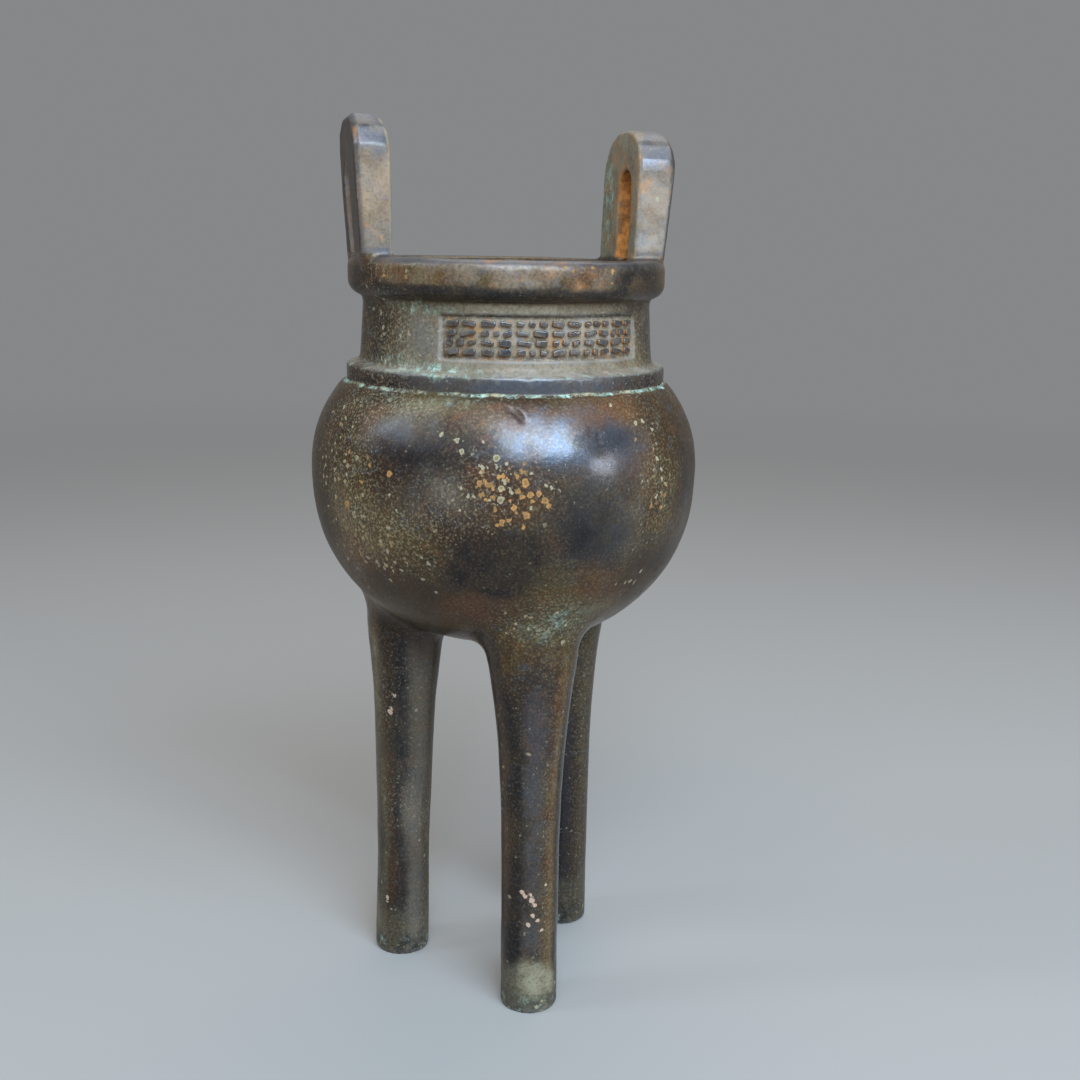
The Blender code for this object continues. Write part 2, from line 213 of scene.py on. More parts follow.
def legLine(side, count):
    # one line up the leg: rounded foot, column, and an end inside the bowl's wall
    def surface(height, inset=0.0):
        middle, along, across = legSize(height)
        return Vector((middle + (along - inset) * math.cos(side), (across - inset) * math.sin(side), height))

    top = bowlUnderside(surface(vessel["legHeight"]).xy.length)
    line = []
    for i in range(leg["footSteps"] + 1):
        a = math.pi / 2 * i / leg["footSteps"]
        line.append(surface(leg["footRound"] * (1 - math.cos(a)), leg["footRound"] * (1 - math.sin(a))))
    line += [surface(leg["footRound"] + (top - leg["footRound"]) * i / count) for i in range(1, count + 1)]
    return line + [Vector((line[-1].x, line[-1].y, top + leg["intoWall"]))]


def bowlGap(points):
    # distance to the lower bowl's skin, to first order, and the way out of it
    radius = np.maximum(np.hypot(points[:, 0], points[:, 1]), 1e-6)
    below = np.maximum(vessel["bellyZ"] - points[:, 2], 1e-6)
    full = vessel["lowerFullness"]
    a = (radius / vessel["bellyRadius"]) ** full + (below / vessel["bellyDepth"]) ** full
    out = a ** (1 / full - 1) * radius ** (full - 1) / vessel["bellyRadius"] ** full
    down = a ** (1 / full - 1) * below ** (full - 1) / vessel["bellyDepth"] ** full
    steep = np.hypot(out, down)
    way = np.stack((out * points[:, 0] / radius, out * points[:, 1] / radius, -down), axis=1)
    return (a ** (1 / full) - 1) / steep, way / steep[:, None]


def legGap(points, direction):
    turn = math.radians(direction)
    outward = np.array((math.sin(turn), -math.cos(turn)))
    sideways = np.array((math.cos(turn), math.sin(turn)))
    middle, along, across = legSize(points[:, 2])
    u = (points[:, :2] @ outward - middle) / along
    w = (points[:, :2] @ sideways) / across
    full = np.maximum(np.hypot(u, w), 1e-6)
    flat = (u / along / full)[:, None] * outward + (w / across / full)[:, None] * sideways
    steep = np.linalg.norm(flat, axis=1)
    way = np.concatenate((flat / steep[:, None], np.zeros((len(points), 1))), axis=1)
    return (full - 1) / steep, way


def blendLegs(points):
    # fills the crease round each leg's head: the points near it move out to a rounded meeting
    reach = leg["blend"]
    low, high = leg["blendFrom"] * vessel["legHeight"], vessel["bellyZ"] - leg["blendTo"]
    for direction in leg["directions"]:
        for _ in range(leg["blendRounds"]):
            bowl, bowlWay = bowlGap(points)
            column, columnWay = legGap(points, direction)
            soft = np.clip(1 - np.abs(bowl - column) / reach, 0, 1)
            gap = np.minimum(bowl, column)
            near = (np.abs(gap) < leg["blendNear"] * reach) & (bowl > -leg["blendDepth"]) & (soft > 0)
            near &= (points[:, 2] > low) & (points[:, 2] < high)
            depth = gap - soft**2 * reach / 4
            nearer = np.where(bowl < column, 1 - soft / 2, soft / 2)[:, None]
            way = nearer * bowlWay + (1 - nearer) * columnWay
            points -= near[:, None] * way * (depth / np.maximum((way**2).sum(axis=1), 0.1))[:, None]


def raiseLeg(bm, direction):
    # a disc is raised level by level, and each level takes the leg's section there
    lines = [legLine(2 * math.pi * i / leg["sides"], leg["levels"]) for i in range(leg["sides"])]
    made = bmesh.ops.create_circle(bm, cap_ends=True, segments=leg["sides"], radius=leg["footRadius"])
    ring = sorted(made["verts"], key=lambda v: math.atan2(v.co.y, v.co.x) % (2 * math.pi))
    legVerts = list(ring)
    for vert, line in zip(ring, lines):
        vert.co = line[0]
    for level in range(1, len(lines[0])):
        loop = [edge for edge in bm.edges if edge.verts[0] in ring and edge.verts[1] in ring]
        raised = bmesh.ops.extrude_edge_only(bm, edges=loop)["geom"]
        fresh = [g for g in raised if isinstance(g, bmesh.types.BMVert)]
        ring = [min(fresh, key=lambda v: (v.co - old.co).length_squared) for old in ring]
        for vert, line in zip(ring, lines):
            vert.co = line[level]
        legVerts += ring
    bmesh.ops.contextual_create(bm, geom=ring)
    turn = Matrix.Rotation(math.radians(direction - 90), 4, "Z")
    bmesh.ops.transform(bm, matrix=turn, verts=legVerts)


handle = {
    "axis": -3.7,  # degrees from +X to the middle of the right handle
    "width": 0.0284,
    "thickening": 0.0015,  # more at the top
    "shift": -0.0010,
    "intoRim": 0.0030,
    "slotWidth": 0.0090,
    "slotHeight": 0.0203,
    "slotOffset": 0.0038,
    "chamfers": (0.0005, 0.0012, 0.0005),  # at the inner face, the outer face and round the slot
    "layers": 16,
    "slack": 1e-5,  # for telling points on the slot's edge
    "wornSqueeze": 0.35,  # how far a worn head draws in sideways and down, as shares of its rounding
    "wornDrop": 0.75,
    "right": {
        "turn": 0.0, "height": 0.0297, "arch": 0.0098, "fullness": 2.15, "lean": 0.0012,
        "thickness": 0.0075,
        "inset": -0.0001,  # inner face beyond the edge of the mouth
        "wornFace": "outer",
        "wornRound": 0.0030,  # rounding worn into one side of the arched head
        "corners": (0, 14, 37, 45, 54, 63, 72, 81),
    },
    "left": {
        "turn": 180.0, "height": 0.0312, "arch": 0.0089, "fullness": 2.40, "lean": 0.0004,
        "thickness": 0.0067,
        "inset": 0.0002,
        "wornFace": "inner",
        "wornRound": 0.0042,
        "corners": (0, 7, 35, 72),
    },
}


def archedLoop(bm, width, foot, top, arch, fullness, shift, corners):
    # flat foot, straight sides and an arched head with corners at the given angles, in the XY plane
    points = [(-width / 2, foot), (width / 2, foot)]
    for degrees in list(corners) + [180 - angle for angle in reversed(corners)]:
        a = math.radians(degrees)
        across = math.copysign(abs(math.cos(a)) ** (2 / fullness), math.cos(a))
        points.append((width / 2 * across, top - arch + arch * abs(math.sin(a)) ** (2 / fullness)))
    verts = [bm.verts.new((x + shift, y, 0.0)) for x, y in points]
    return [bm.edges.new(pair) for pair in zip(verts, verts[1:] + verts[:1])]


def raiseHandle(bm, side):
    spec = handle[side]
    height = spec["height"]
    plate = bmesh.new()
    edges = archedLoop(
        plate, handle["width"], -handle["intoRim"], height,
        spec["arch"], spec["fullness"], 0.0, spec["corners"],
    )
    edges += archedLoop(
        plate, handle["slotWidth"], -handle["intoRim"] / 2, handle["slotHeight"],
        handle["slotWidth"] / 2, 2.0, -handle["slotOffset"], range(0, 90, 9),
    )
    faces = bmesh.ops.triangle_fill(plate, edges=edges, use_beauty=True)["geom"]
    faces = [g for g in faces if isinstance(g, bmesh.types.BMFace)]
    for layer in range(handle["layers"]):
        raised = bmesh.ops.extrude_face_region(plate, geom=faces, use_keep_orig=layer == 0)["geom"]
        faces = [g for g in raised if isinstance(g, bmesh.types.BMFace)]
        moved = [g for g in raised if isinstance(g, bmesh.types.BMVert)]
        bmesh.ops.translate(plate, vec=(0, 0, 1 / handle["layers"]), verts=moved)
    innerFace = vessel["mouthRadius"] + spec["inset"]
    for vert in plate.verts:
        across, up, depth = vert.co
        share = max(0.0, up) / height
        thick = spec["thickness"] + handle["thickening"] * math.sin(math.pi / 2 * min(1.0, share))
        depth = (1 - math.cos(math.pi * depth)) / 2  # the layers lie closer near the two faces
        across, up = chamferPoint(across, up, depth * thick, (1 - depth) * thick, spec)
        fromWorn = (1 - depth if spec["wornFace"] == "outer" else depth) * thick
        bite = min(1.0, max(0.0, 1 - fromWorn / spec["wornRound"]))
        drop = spec["wornRound"] * (1 - math.sqrt(1 - bite * bite))
        crown = max(0.0, (up - height + spec["arch"]) / spec["arch"])
        vert.co = (
            innerFace + spec["lean"] * share + thick * depth,
            across * (1 - handle["wornSqueeze"] * drop / handle["width"]),
            vessel["rimTopZ"] + up - handle["wornDrop"] * drop * crown,
        )
    bmesh.ops.recalc_face_normals(plate, faces=plate.faces)
    turn = Matrix.Rotation(math.radians(handle["axis"] + spec["turn"]), 4, "Z")
    shift = Matrix.Rotation(math.radians(handle["axis"]), 4, "Z") @ Vector((handle["shift"], 0, 0))
    bmesh.ops.transform(plate, matrix=Matrix.Translation(shift) @ turn, verts=plate.verts)
    addMesh(bm, plate)


def chamferPoint(across, up, fromInner, fromOuter, spec):
    # the outline draws in near the two faces, and the slot opens a little
    inner, outer, slot = handle["chamfers"]
    fromSlot = across + handle["slotOffset"]
    half = handle["slotWidth"] / 2
    if abs(fromSlot) < half + handle["slack"] and up < handle["slotHeight"] + handle["slack"]:
        more = max(0.0, slot - min(fromInner, fromOuter)) / half
        return across + more * fromSlot, up + more * max(0.0, up - handle["slotHeight"] + half)
    less = max(0.0, inner - fromInner, outer - fromOuter)
    crown = max(0.0, up - spec["height"] + spec["arch"]) / spec["arch"]
    return across * (1 - 2 * less / handle["width"]), up - less * crown


def addMesh(bm, other):
    mesh = bpy.data.meshes.new("loan")
    other.to_mesh(mesh)
    other.free()
    bm.from_mesh(mesh)
    bpy.data.meshes.remove(mesh)


casting = {
    "voxel": 0.00038,
    "smoothRounds": 3,
    "triangles": 197000,
    "weights": (1.0, 0.7, 0.3),  # thinning of the inside, the outside, and the handles and panel
    "weightShare": 0.1,
    "insideFrom": 0.0015,  # above the bowl's lowest point
    "insideTo": 0.0030,  # below the top of the rim
    "handlesFrom": 0.0003,  # above the top of the rim
    "panelEdge": 0.0010,
    "creaseFade": (0.0022, 0.0008),  # where the fillet of the handle feet begins and is whole
    "creaseInside": 0.0020,
    "creaseRounds": 20,
    "bendRounds": 24,  # smoothing that shows which edges are rubbed and which hollows are dirty
    "bendScale": 0.9,
}


def newObject(name, data):
    piece = bpy.data.objects.new(name, data)
    bpy.context.scene.collection.objects.link(piece)
    return piece


def settle(piece):
    # applies the modifiers
    bpy.context.view_layer.update()
    made = bpy.data.meshes.new_from_object(piece.evaluated_get(bpy.context.evaluated_depsgraph_get()))
    old = piece.data
    piece.modifiers.clear()
    piece.data = made
    made.name = piece.name
    bpy.data.meshes.remove(old)


def castInOne(name, bm, voxel, rounds):
    # the overlapping shells become one skin with soft fillets
    mesh = bpy.data.meshes.new(name)
    bm.to_mesh(mesh)
    bm.free()
    piece = newObject(name, mesh)
    remesh = piece.modifiers.new("cast", "REMESH")
    remesh.mode = "VOXEL"
    remesh.voxel_size = voxel
    smooth = piece.modifiers.new("soften", "SMOOTH")
    smooth.factor = 0.5
    smooth.iterations = rounds
    settle(piece)
    return piece


def readVectors(source, name):
    flat = np.empty(len(source) * 3, np.float32)
    source.foreach_get(name, flat)
    return flat.reshape(-1, 3).astype(float)


def readPoints(mesh):
    return readVectors(mesh.vertices, "co")


def readNormals(mesh):
    return readVectors(mesh.vertex_normals, "vector")


def writePoints(mesh, points):
    mesh.vertices.foreach_set("co", points.astype(np.float32).ravel())
    mesh.update()


def writeMask(mesh, name, values):
    layer = mesh.attributes.get(name) or mesh.attributes.new(name, "FLOAT", "POINT")
    layer.data.foreach_set("value", np.clip(values, 0, 1).astype(np.float32))


def softField(points, size, seed):
    # smooth random field from -1 to 1, whose bumps are about size wide
    cells = 24
    table = np.random.default_rng(seed).random((cells, cells, cells)) * 2 - 1
    tilt = np.array(Matrix.Rotation(0.6 + seed, 3, Vector((1.0, 0.7, 0.4))))
    spot = points @ tilt / size + 100.0
    cell = np.floor(spot).astype(int)
    part = spot - cell
    part = part * part * (3 - 2 * part)
    total = np.zeros(len(points))
    for corner in range(8):
        step = np.array((corner & 1, corner >> 1 & 1, corner >> 2 & 1))
        weight = np.prod(np.where(step, part, 1 - part), axis=1)
        x, y, z = ((cell + step) % cells).T
        total += weight * table[x, y, z]
    return total


def ramp(values, low, high):
    share = np.clip((values - low) / (high - low), 0, 1)
    return share * share * (3 - 2 * share)


def fall(values, low, high):
    return 1 - ramp(values, low, high)


def hill(values, middle, half, power=2):
    return np.exp(-(np.abs((values - middle) / half) ** power))


def cloudy(points, size, seed, low, high):
    # random patches about size wide, fading in where the field goes from low to high
    return ramp(softField(points, size, seed), low, high)


def spread(masks, where, **strengths):
    for name, strength in strengths.items():
        masks[name] += where * strength


def around(points):
    # direction round the axis in degrees from the front towards +X, and the radius
    return np.degrees(np.arctan2(points[:, 0], -points[:, 1])), np.hypot(points[:, 0], points[:, 1])


def smoothField(mesh, values, rounds):
    # spreads a value over the neighbours along the mesh's edges
    pairs = np.empty(len(mesh.edges) * 2, np.int32)
    mesh.edges.foreach_get("vertices", pairs)
    first, second = pairs.reshape(-1, 2).T
    count = len(values)
    links = np.bincount(first, minlength=count) + np.bincount(second, minlength=count)
    for _ in range(rounds):
        total = np.bincount(first, values[second], count) + np.bincount(second, values[first], count)
        values = 0.5 * values + 0.5 * total / np.maximum(links, 1)
    return values


def smoothPoints(mesh, points, rounds):
    return np.stack([smoothField(mesh, points[:, i], rounds) for i in range(3)], axis=1)


panel = {
    "width": 0.0485,  # along the arc of the neck
    "height": 0.0094,
    "aboveRidge": 0.0027,
    "depth": 0.0009,
    "edge": 0.00018,
    "line": 0.00045,  # half width of the painted shadow along its upper border and the painted light along the others
    "reach": 0.0015,  # depth below the neck's skin to which a point counts as the panel's
    "head": 0.0042,  # above its middle, where its upper border begins
}


def panelInside(points):
    # distance to the panel's border, above zero inside it, and whether that is the upper border
    direction, radius = around(points)
    along = np.abs(np.radians(direction) * vessel["neckRadius"])
    middle = vessel["neckFootZ"] + panel["aboveRidge"] + panel["height"] / 2
    inside = np.minimum(panel["width"] / 2 - along, panel["height"] / 2 - np.abs(points[:, 2] - middle))
    isHead = points[:, 2] > middle + panel["head"]
    return np.where(radius > vessel["neckRadius"] - panel["reach"], inside, -1.0), isHead


def sinkPanel(points):
    _, radius = around(points)
    inside, _ = panelInside(points)
    sunk = ramp(inside, -panel["edge"], panel["edge"])
    target = np.minimum(radius, vessel["neckRadius"] - panel["depth"])
    scale = 1 + sunk * (target / np.maximum(radius, 1e-6) - 1)
    points[:, 0] *= scale
    points[:, 1] *= scale
    return sunk


skin = {
    "swell": (0.00016, 0.0190),  # height and width of the slow unevenness of the casting
    "hammer": (0.00007, 0.0062),
    "grain": (0.00003, 0.0020),
    "rimWave": (0.00018, 0.0110),
    "pits": 420,
    "pitSize": (0.0004, 0.0011),
    "pitDepth": (0.00005, 0.00018),
    "pitsFrom": 0.06,  # distance from the axis from which a pit looks for the nearest point of the skin
    "pitsAbove": 0.02,  # above the rim, so that the handles get some
    "dirtyPit": 0.00025,  # depth at which a pit is full of dirt
    "flatBelow": 0.00022,
    "boxGap": 1e-5,
}

flaw = {
    # hooked casting flaw on the shoulder; a dent and a lip are half length, half width and height
    "direction": -12.6,
    "height": 0.1456,
    "radius": 0.0409,
    "reach": 0.0060,
    "hook": 60,
    "dent": (0.0017, 0.00055, -0.00042),
    "lip": (0.0016, 0.00050, 0.00016),
    "lipShift": 0.0011,
}


def unevenSkin(points, normals):
    offset = np.zeros(len(points))
    for seed, key in enumerate(("swell", "hammer", "grain")):
        height, width = skin[key]
        offset += height * softField(points, width, 3 + 5 * seed)
    height, width = skin["rimWave"]
    nearRim = ramp(points[:, 2], vessel["rimUnderZ"], vessel["rimTopZ"])
    offset += height * nearRim * softField(points, width, 31)
    points += normals * offset[:, None]


def carvePits(points, normals):
    # small round pits all over the burner
    chance = random.Random(7)
    tree = KDTree(len(points))
    for i, point in enumerate(points):
        tree.insert(point, i)
    tree.balance()
    carved = np.zeros(len(points))
    for _ in range(skin["pits"]):
        turn = math.radians(chance.uniform(-180, 180))
        height = chance.uniform(0.0, vessel["rimTopZ"] + skin["pitsAbove"])
        guess = Vector((skin["pitsFrom"] * math.sin(turn), -skin["pitsFrom"] * math.cos(turn), height))
        spot, _, _ = tree.find(guess)
        size = chance.uniform(*skin["pitSize"])
        depth = chance.uniform(*skin["pitDepth"])
        for _, i, distance in tree.find_range(spot, size):
            carved[i] = max(carved[i], depth * (1 - (distance / size) ** 2) ** 2)
    points -= normals * carved[:, None]
    return carved


def placeOn(direction, height, radius):
    turn = math.radians(direction)
    return np.array((radius * math.sin(turn), -radius * math.cos(turn), height))


def carveFlaw(points, normals):
    # a slanting dent with a raised lip beside it
    offset = points - placeOn(flaw["direction"], flaw["height"], flaw["radius"])
    x = offset @ placeOn(flaw["direction"] + 90, 0.0, 1.0)
    z = offset[:, 2]
    near = np.linalg.norm(offset, axis=1) < flaw["reach"]
    slant = 0.7071
    along = (x - z) * slant
    across = (x + z) * slant + flaw["hook"] * along**2
    change = np.zeros(len(points))
    for name, shift in (("dent", 0.0), ("lip", flaw["lipShift"])):
        length, width, height = flaw[name]
        change += height * np.exp(-((along / length) ** 4) - ((across - shift) / width) ** 2)
    points += normals * (near * change)[:, None]


def flatFeet(points):
    low = points[:, 2] < skin["flatBelow"]
    points[low, 2] = 0.0


def keepInBox(points):
    gap = skin["boxGap"]
    np.clip(points, np.array(cadLow) + gap, np.array(cadHigh) - gap, out=points)
    points[:, 2] = np.maximum(points[:, 2], 0.0)


patches = {
    # painted patches: direction in degrees, then height, half width and half height in millimetres, strength
    # the dark, warm and hollow patches low on the belly and near its sides are partly painted shade and a
    # painted dark, warm reflection from below
    "dark": [
        (-22, 113, 9.5, 7, 1.7), (-18, 112.7, 8.5, 6.6, 0.9), (-12, 112, 6, 6, 0.6),
        (9, 120.5, 10.5, 8.5, 0.8), (-38, 135, 10, 3.4, 0.8), (-60, 147.2, 5, 2.2, 0.7),
        (50, 125, 6, 19, 0.9), (32, 144, 2.2, 5.5, 0.6), (-76, 161.5, 9, 8, 1.2),
        (38, 172.5, 14.5, 6, 1.2), (-14, 129, 9, 6.5, 0.45), (-76, 172.5, 8, 6, 1),
        (-50, 106, 14, 7, 0.9), (30, 110, 9, 8, 0.8), (-84, 124, 7, 20, 0.8), (-20, 103, 12, 4, 0.5),
        (40, 106, 10, 9, 0.8), (60, 161, 12, 8, 0.8), (-2, 170.8, 10, 1, 0.5), (-76, 151, 5, 2, 0.7),
        (-8, 119.5, 11, 6, 0.35), (52, 151, 8, 2, 0.6), (120, 120, 15, 11, 0.8), (-150, 130, 16, 12, 0.7),
        (175, 113, 14, 9, 0.8), (85, 136, 11, 6, 0.6), (-105, 115, 13, 8, 0.7), (160, 163, 10, 6, 0.6),
    ],
    "warm": [
        (-57, 142.5, 6.5, 5, 0.9), (17, 145.5, 13, 3.6, 1), (25, 135, 6, 8.5, 0.65),
        (-66, 111, 12, 7, 0.9), (-28, 103, 19, 4.5, 0.9), (24, 108, 11, 6, 0.7), (-8, 145, 10, 2.4, 0.4),
        (-14, 129, 10, 7, 0.6), (-66, 172.5, 7.5, 5, 0.9), (5, 174.5, 14, 3, 0.5), (-76, 161, 8, 8, 0.8),
        (150, 105, 25, 10, 0.7), (-120, 142, 12, 6, 0.7), (90, 102, 20, 10, 0.7), (-165, 145, 15, 4, 0.7),
        (130, 173, 14, 4, 0.6), (-110, 101, 16, 6, 0.7),
    ],
    "tan": [
        (-33, 130, 6.5, 5.5, 0.55), (20, 120.5, 5, 8, 0.5), (-63, 118, 10, 10, 0.45),
        (-10, 167.2, 33, 1.6, 0.9), (-48, 160, 9, 7, 0.55), (-38, 146, 12, 2.5, 0.5),
        (-52, 143, 12, 4, 0.5), (140, 128, 12, 9, 0.45), (-130, 125, 12, 9, 0.4), (180, 160, 50, 6, 0.5),
    ],
    "green": [
        (0, 98.2, 11, 5, 0.65), (10, 101, 7, 3.5, 0.35), (-50, 166.8, 13, 1.6, 0.8),
        (-45, 147.5, 16, 1.4, 0.6), (-44, 153.6, 20, 1, 1), (-58, 156, 6, 1.6, 0.6),
        (-125, 96, 7, 4, 0.7), (110, 97, 8, 4, 0.7), (100, 166, 12, 2, 0.6), (-150, 147, 20, 1.6, 0.6),
    ],
    "ochre": [
        (-14, 129, 8, 5.5, 0.75), (-20, 131, 3.5, 4.5, 0.6), (-62, 132, 5, 7, 0.45),
        (-66, 174, 5, 2, 0.7), (4, 174.5, 12, 1.6, 0.55), (32, 126.5, 3.5, 4, 0.6),
        (-57, 142, 5, 3, 0.35), (-52, 173.5, 6, 2.2, 0.35), (14, 173.8, 10, 1.8, 0.35),
        (140, 133, 6, 5, 0.8), (-135, 121, 5, 6, 0.7), (85, 120, 4, 4, 0.7),
    ],
    "fleck": [
        (-62, 117.5, 12, 12, 0.75), (-50, 115, 8, 6, 0.28), (-73, 134, 8, 10, 0.6),
        (31, 135, 4.5, 11, 0.45), (-18, 129, 12, 9, 0.4), (28, 107.5, 3, 2.8, 1), (0, 99, 12, 5, 0.45),
        (-66, 172, 12, 3.5, 0.22), (-66, 161, 15, 7.5, 0.26), (-120, 125, 15, 15, 0.7),
        (110, 133, 12, 12, 0.6), (170, 140, 14, 8, 0.6),
    ],
    "slate": [
        (-4, 140.5, 17, 5.8, 1), (12, 136, 12, 8, 0.7), (-24, 112, 10.5, 7, 0.15),
        (10, 120, 10.5, 8, 0.7), (-46, 140, 12, 5, 0.7), (-36, 129, 10, 7, 0.4),
        (-48, 160.5, 7.5, 5.5, 0.5), (160, 140, 20, 8, 0.8), (-110, 138, 14, 8, 0.7),
        (80, 130, 14, 10, 0.7),
    ],
    "hollow": [
        (-86, 124, 11, 26, 0.8), (-54, 104, 18, 8, 0.8), (36, 107, 16, 9, 0.7), (-80, 165, 8, 13, 0.9),
        (52, 172, 9, 6, 0.6), (-78, 152, 6, 2.2, 0.8), (58, 130, 8, 20, 0.5), (140, 108, 20, 8, 0.6),
        (-150, 106, 20, 8, 0.6),
    ],
    "dust": [
        (-68, 128, 14, 21, 1), (-46, 118, 11, 9, 0.55), (32, 127, 6, 18, 0.6), (-20, 130, 16, 10, 0.4),
        (-55, 147, 13, 3, 0.7), (-72, 161, 8, 8, 0.9), (-70, 172, 7, 4, 0.8), (0, 99, 18, 7, 0.6),
        (-110, 125, 20, 18, 0.8), (100, 125, 22, 16, 0.7), (-170, 130, 25, 16, 0.6),
        (180, 161, 50, 8, 0.5),
    ],
}

patchPaint = {
    "warp": (5, 0.0060),  # degrees and width of the waves that make a patch's outline uneven
    "sway": (0.0014, 0.0050),  # the same in height
    "edge": 1.3,  # how sharply a patch ends
    "legFade": (0.088, 0.094),  # heights between which the legs' own paint takes over
    "stainTop": 0.0040,  # below the shoulder, where the dark patches, partly stains and partly painted shade, are kept clear of dust
}

legPaint = {
    # for each leg: upright bands as mask, direction round the leg from the front, half width, strength
    "bands": (
        (
            ("slate", -14, 27, 0.65), ("dark", -46, 18, 0.70), ("warm", -84, 20, 0.6), ("warm", 31, 13, 0.5),
            ("tan", 35, 9, 0.35), ("dark", 64, 20, 0.7), ("dark", 130, 40, 0.5), ("tan", 180, 28, 0.3),
        ),
        (
            ("tan", -58, 14, 1.0), ("green", -62, 16, 0.3), ("warm", -40, 12, 0.45), ("slate", -14, 13, 0.5),
            ("dark", -16, 8, 0.30), ("tan", 20, 28, 1.00), ("pale", 18, 24, 0.75), ("tan", 58, 12, 0.8),
            ("dark", -94, 16, 0.7), ("dark", 110, 30, 0.6), ("warm", 160, 30, 0.6),
        ),
        (
            ("slate", -22, 24, 0.8), ("dark", -62, 20, 0.7), ("tan", 30, 20, 0.6), ("dark", 66, 16, 0.6),
            ("warm", 100, 24, 0.7), ("tan", 150, 26, 0.4), ("dark", -160, 30, 0.5),
        ),
    ),
    "dust": (0.10, 0.50, 0.22),
    "foot": (0.95, 0.35, 0.35),
    "fade": (0.080, 0.094),  # heights between which the bowl's paint takes over
    "reach": 0.0130,  # from the leg's middle
    "edge": 2.6,  # how sharply a band ends
    "sway": (9, 7),  # degrees that streaks and clouds push a band aside
    "footTop": (0.0100, 0.0155),
    "footSway": 0.0030,
    "soilTop": (0.0025, 0.0065),
}

handlePaint = {
    # heights are above the rim, and a pair is a middle and a half width
    "start": (0.0002, 0.0012),
    "footFade": (0.0040, 0.0110),
    "rubbed": (0.0135, 0.0065),
    "rightShine": 0.0226,  # the bluish zone under the head
    "leftShine": 0.0254,
    "shineHalf": 0.0028,
    "rightBend": 0.0262,  # corner between the side and the head, along which a dark line of painted shade runs
    "leftBend": 0.0279,
    "bendHalf": 0.0005,
    "slotEdge": (-0.0009, -0.0003),
    "slotRust": 0.0016,
    # heights over which the top of the right slot is painted dark, a painted shadow under its arch
    "slotHead": (0.0170, 0.0210),
    "cornerRust": (0.0268, 0.0016),
    "blush": (0.0165, 0.0042),
    "sill": (0.0013, 0.0007),
    "crustAcross": (0.0095, 0.0042),
    "crustUp": (0.0120, 0.0080),
}

bandPaint = {
    # direction and half width in degrees of zones round the neck and the rim
    # painted light: in this zone, where the key light falls, the ridge, the neck and the rim are painted
    # lighter
    "front": (-8, 44),
    "neckLeft": (-52, 24),
    "rimShade": (-40, 34),
    "rimLeft": (-50, 28),
    "rimRust": (-22, 52),
    "lowRimReflection": (0.0022, 0.0014, 0.0005),  # height of the dark band under the rim, a painted dark reflection, more at its left, waves
}


def paintPatches(points, key):
    z = points[:, 2]
    direction, _ = around(points)
    (turns, turnWidth), (rise, riseWidth) = patchPaint["warp"], patchPaint["sway"]
    warped = direction + turns * softField(points, turnWidth, 41)
    height = z + rise * softField(points, riseWidth, 43)
    total = np.zeros(len(points))
    for turn, *millimetres, strength in patches[key]:
        middle, wide, tall = (length / 1000 for length in millimetres)
        away = np.abs((warped - turn + 180) % 360 - 180)
        x = np.radians(away) * vessel["bellyRadius"] / wide
        total += strength * np.exp(-((x**2 + ((height - middle) / tall) ** 2) ** patchPaint["edge"]))
    return total * ramp(z, *patchPaint["legFade"]) * fall(z, vessel["rimTopZ"], vessel["rimTopZ"] + 0.001)


def paintLegs(points, masks):
    z = points[:, 2]
    onLeg = fall(z, *legPaint["fade"])
    streaks = softField(points * (1, 1, 0.22), 0.0045, 51)
    cloud = softField(points, 0.011, 52)
    for i, direction in enumerate(leg["directions"]):
        turn = math.radians(direction)
        x = points[:, 0] - leg["circle"] * math.sin(turn)
        y = points[:, 1] + leg["circle"] * math.cos(turn)
        own = onLeg * (np.hypot(x, y) < legPaint["reach"])
        seen = np.degrees(np.arctan2(x, -y)) + legPaint["sway"][0] * streaks + legPaint["sway"][1] * cloud
        for key, middle, half, strength in legPaint["bands"][i]:
            away = (seen - middle + 180) % 360 - 180
            masks[key] += own * strength * hill(away, 0, half, legPaint["edge"]) * (0.85 + 0.35 * cloud)
        low = fall(z + legPaint["footSway"] * (cloud + streaks), *legPaint["footTop"])
        for key in ("dark", "slate", "warm"):
            masks[key] *= 1 - own * low * 0.8
        soil = own * fall(z, *legPaint["soilTop"]) * cloudy(points, 0.0022, 53, -0.5, 0.2)
        spread(masks, soil, dark=1.1, green=0.6, fleck=0.4)
        dusty = legPaint["dust"][i] * ramp(cloud, -0.4, 0.5)
        spread(masks, own, foot=legPaint["foot"][i] * low, dust=dusty, fleck=0.05)


def handleGeometry(points):
    # across and up the plates, and which side of the mouth a point is on
    turn = math.radians(handle["axis"])
    out, side = np.array((math.cos(turn), math.sin(turn))), np.array((-math.sin(turn), math.cos(turn)))
    away = points[:, :2] @ out - handle["shift"]
    right = np.sign(away)
    return right * (points[:, :2] @ side), points[:, 2] - vessel["rimTopZ"], right, out, side


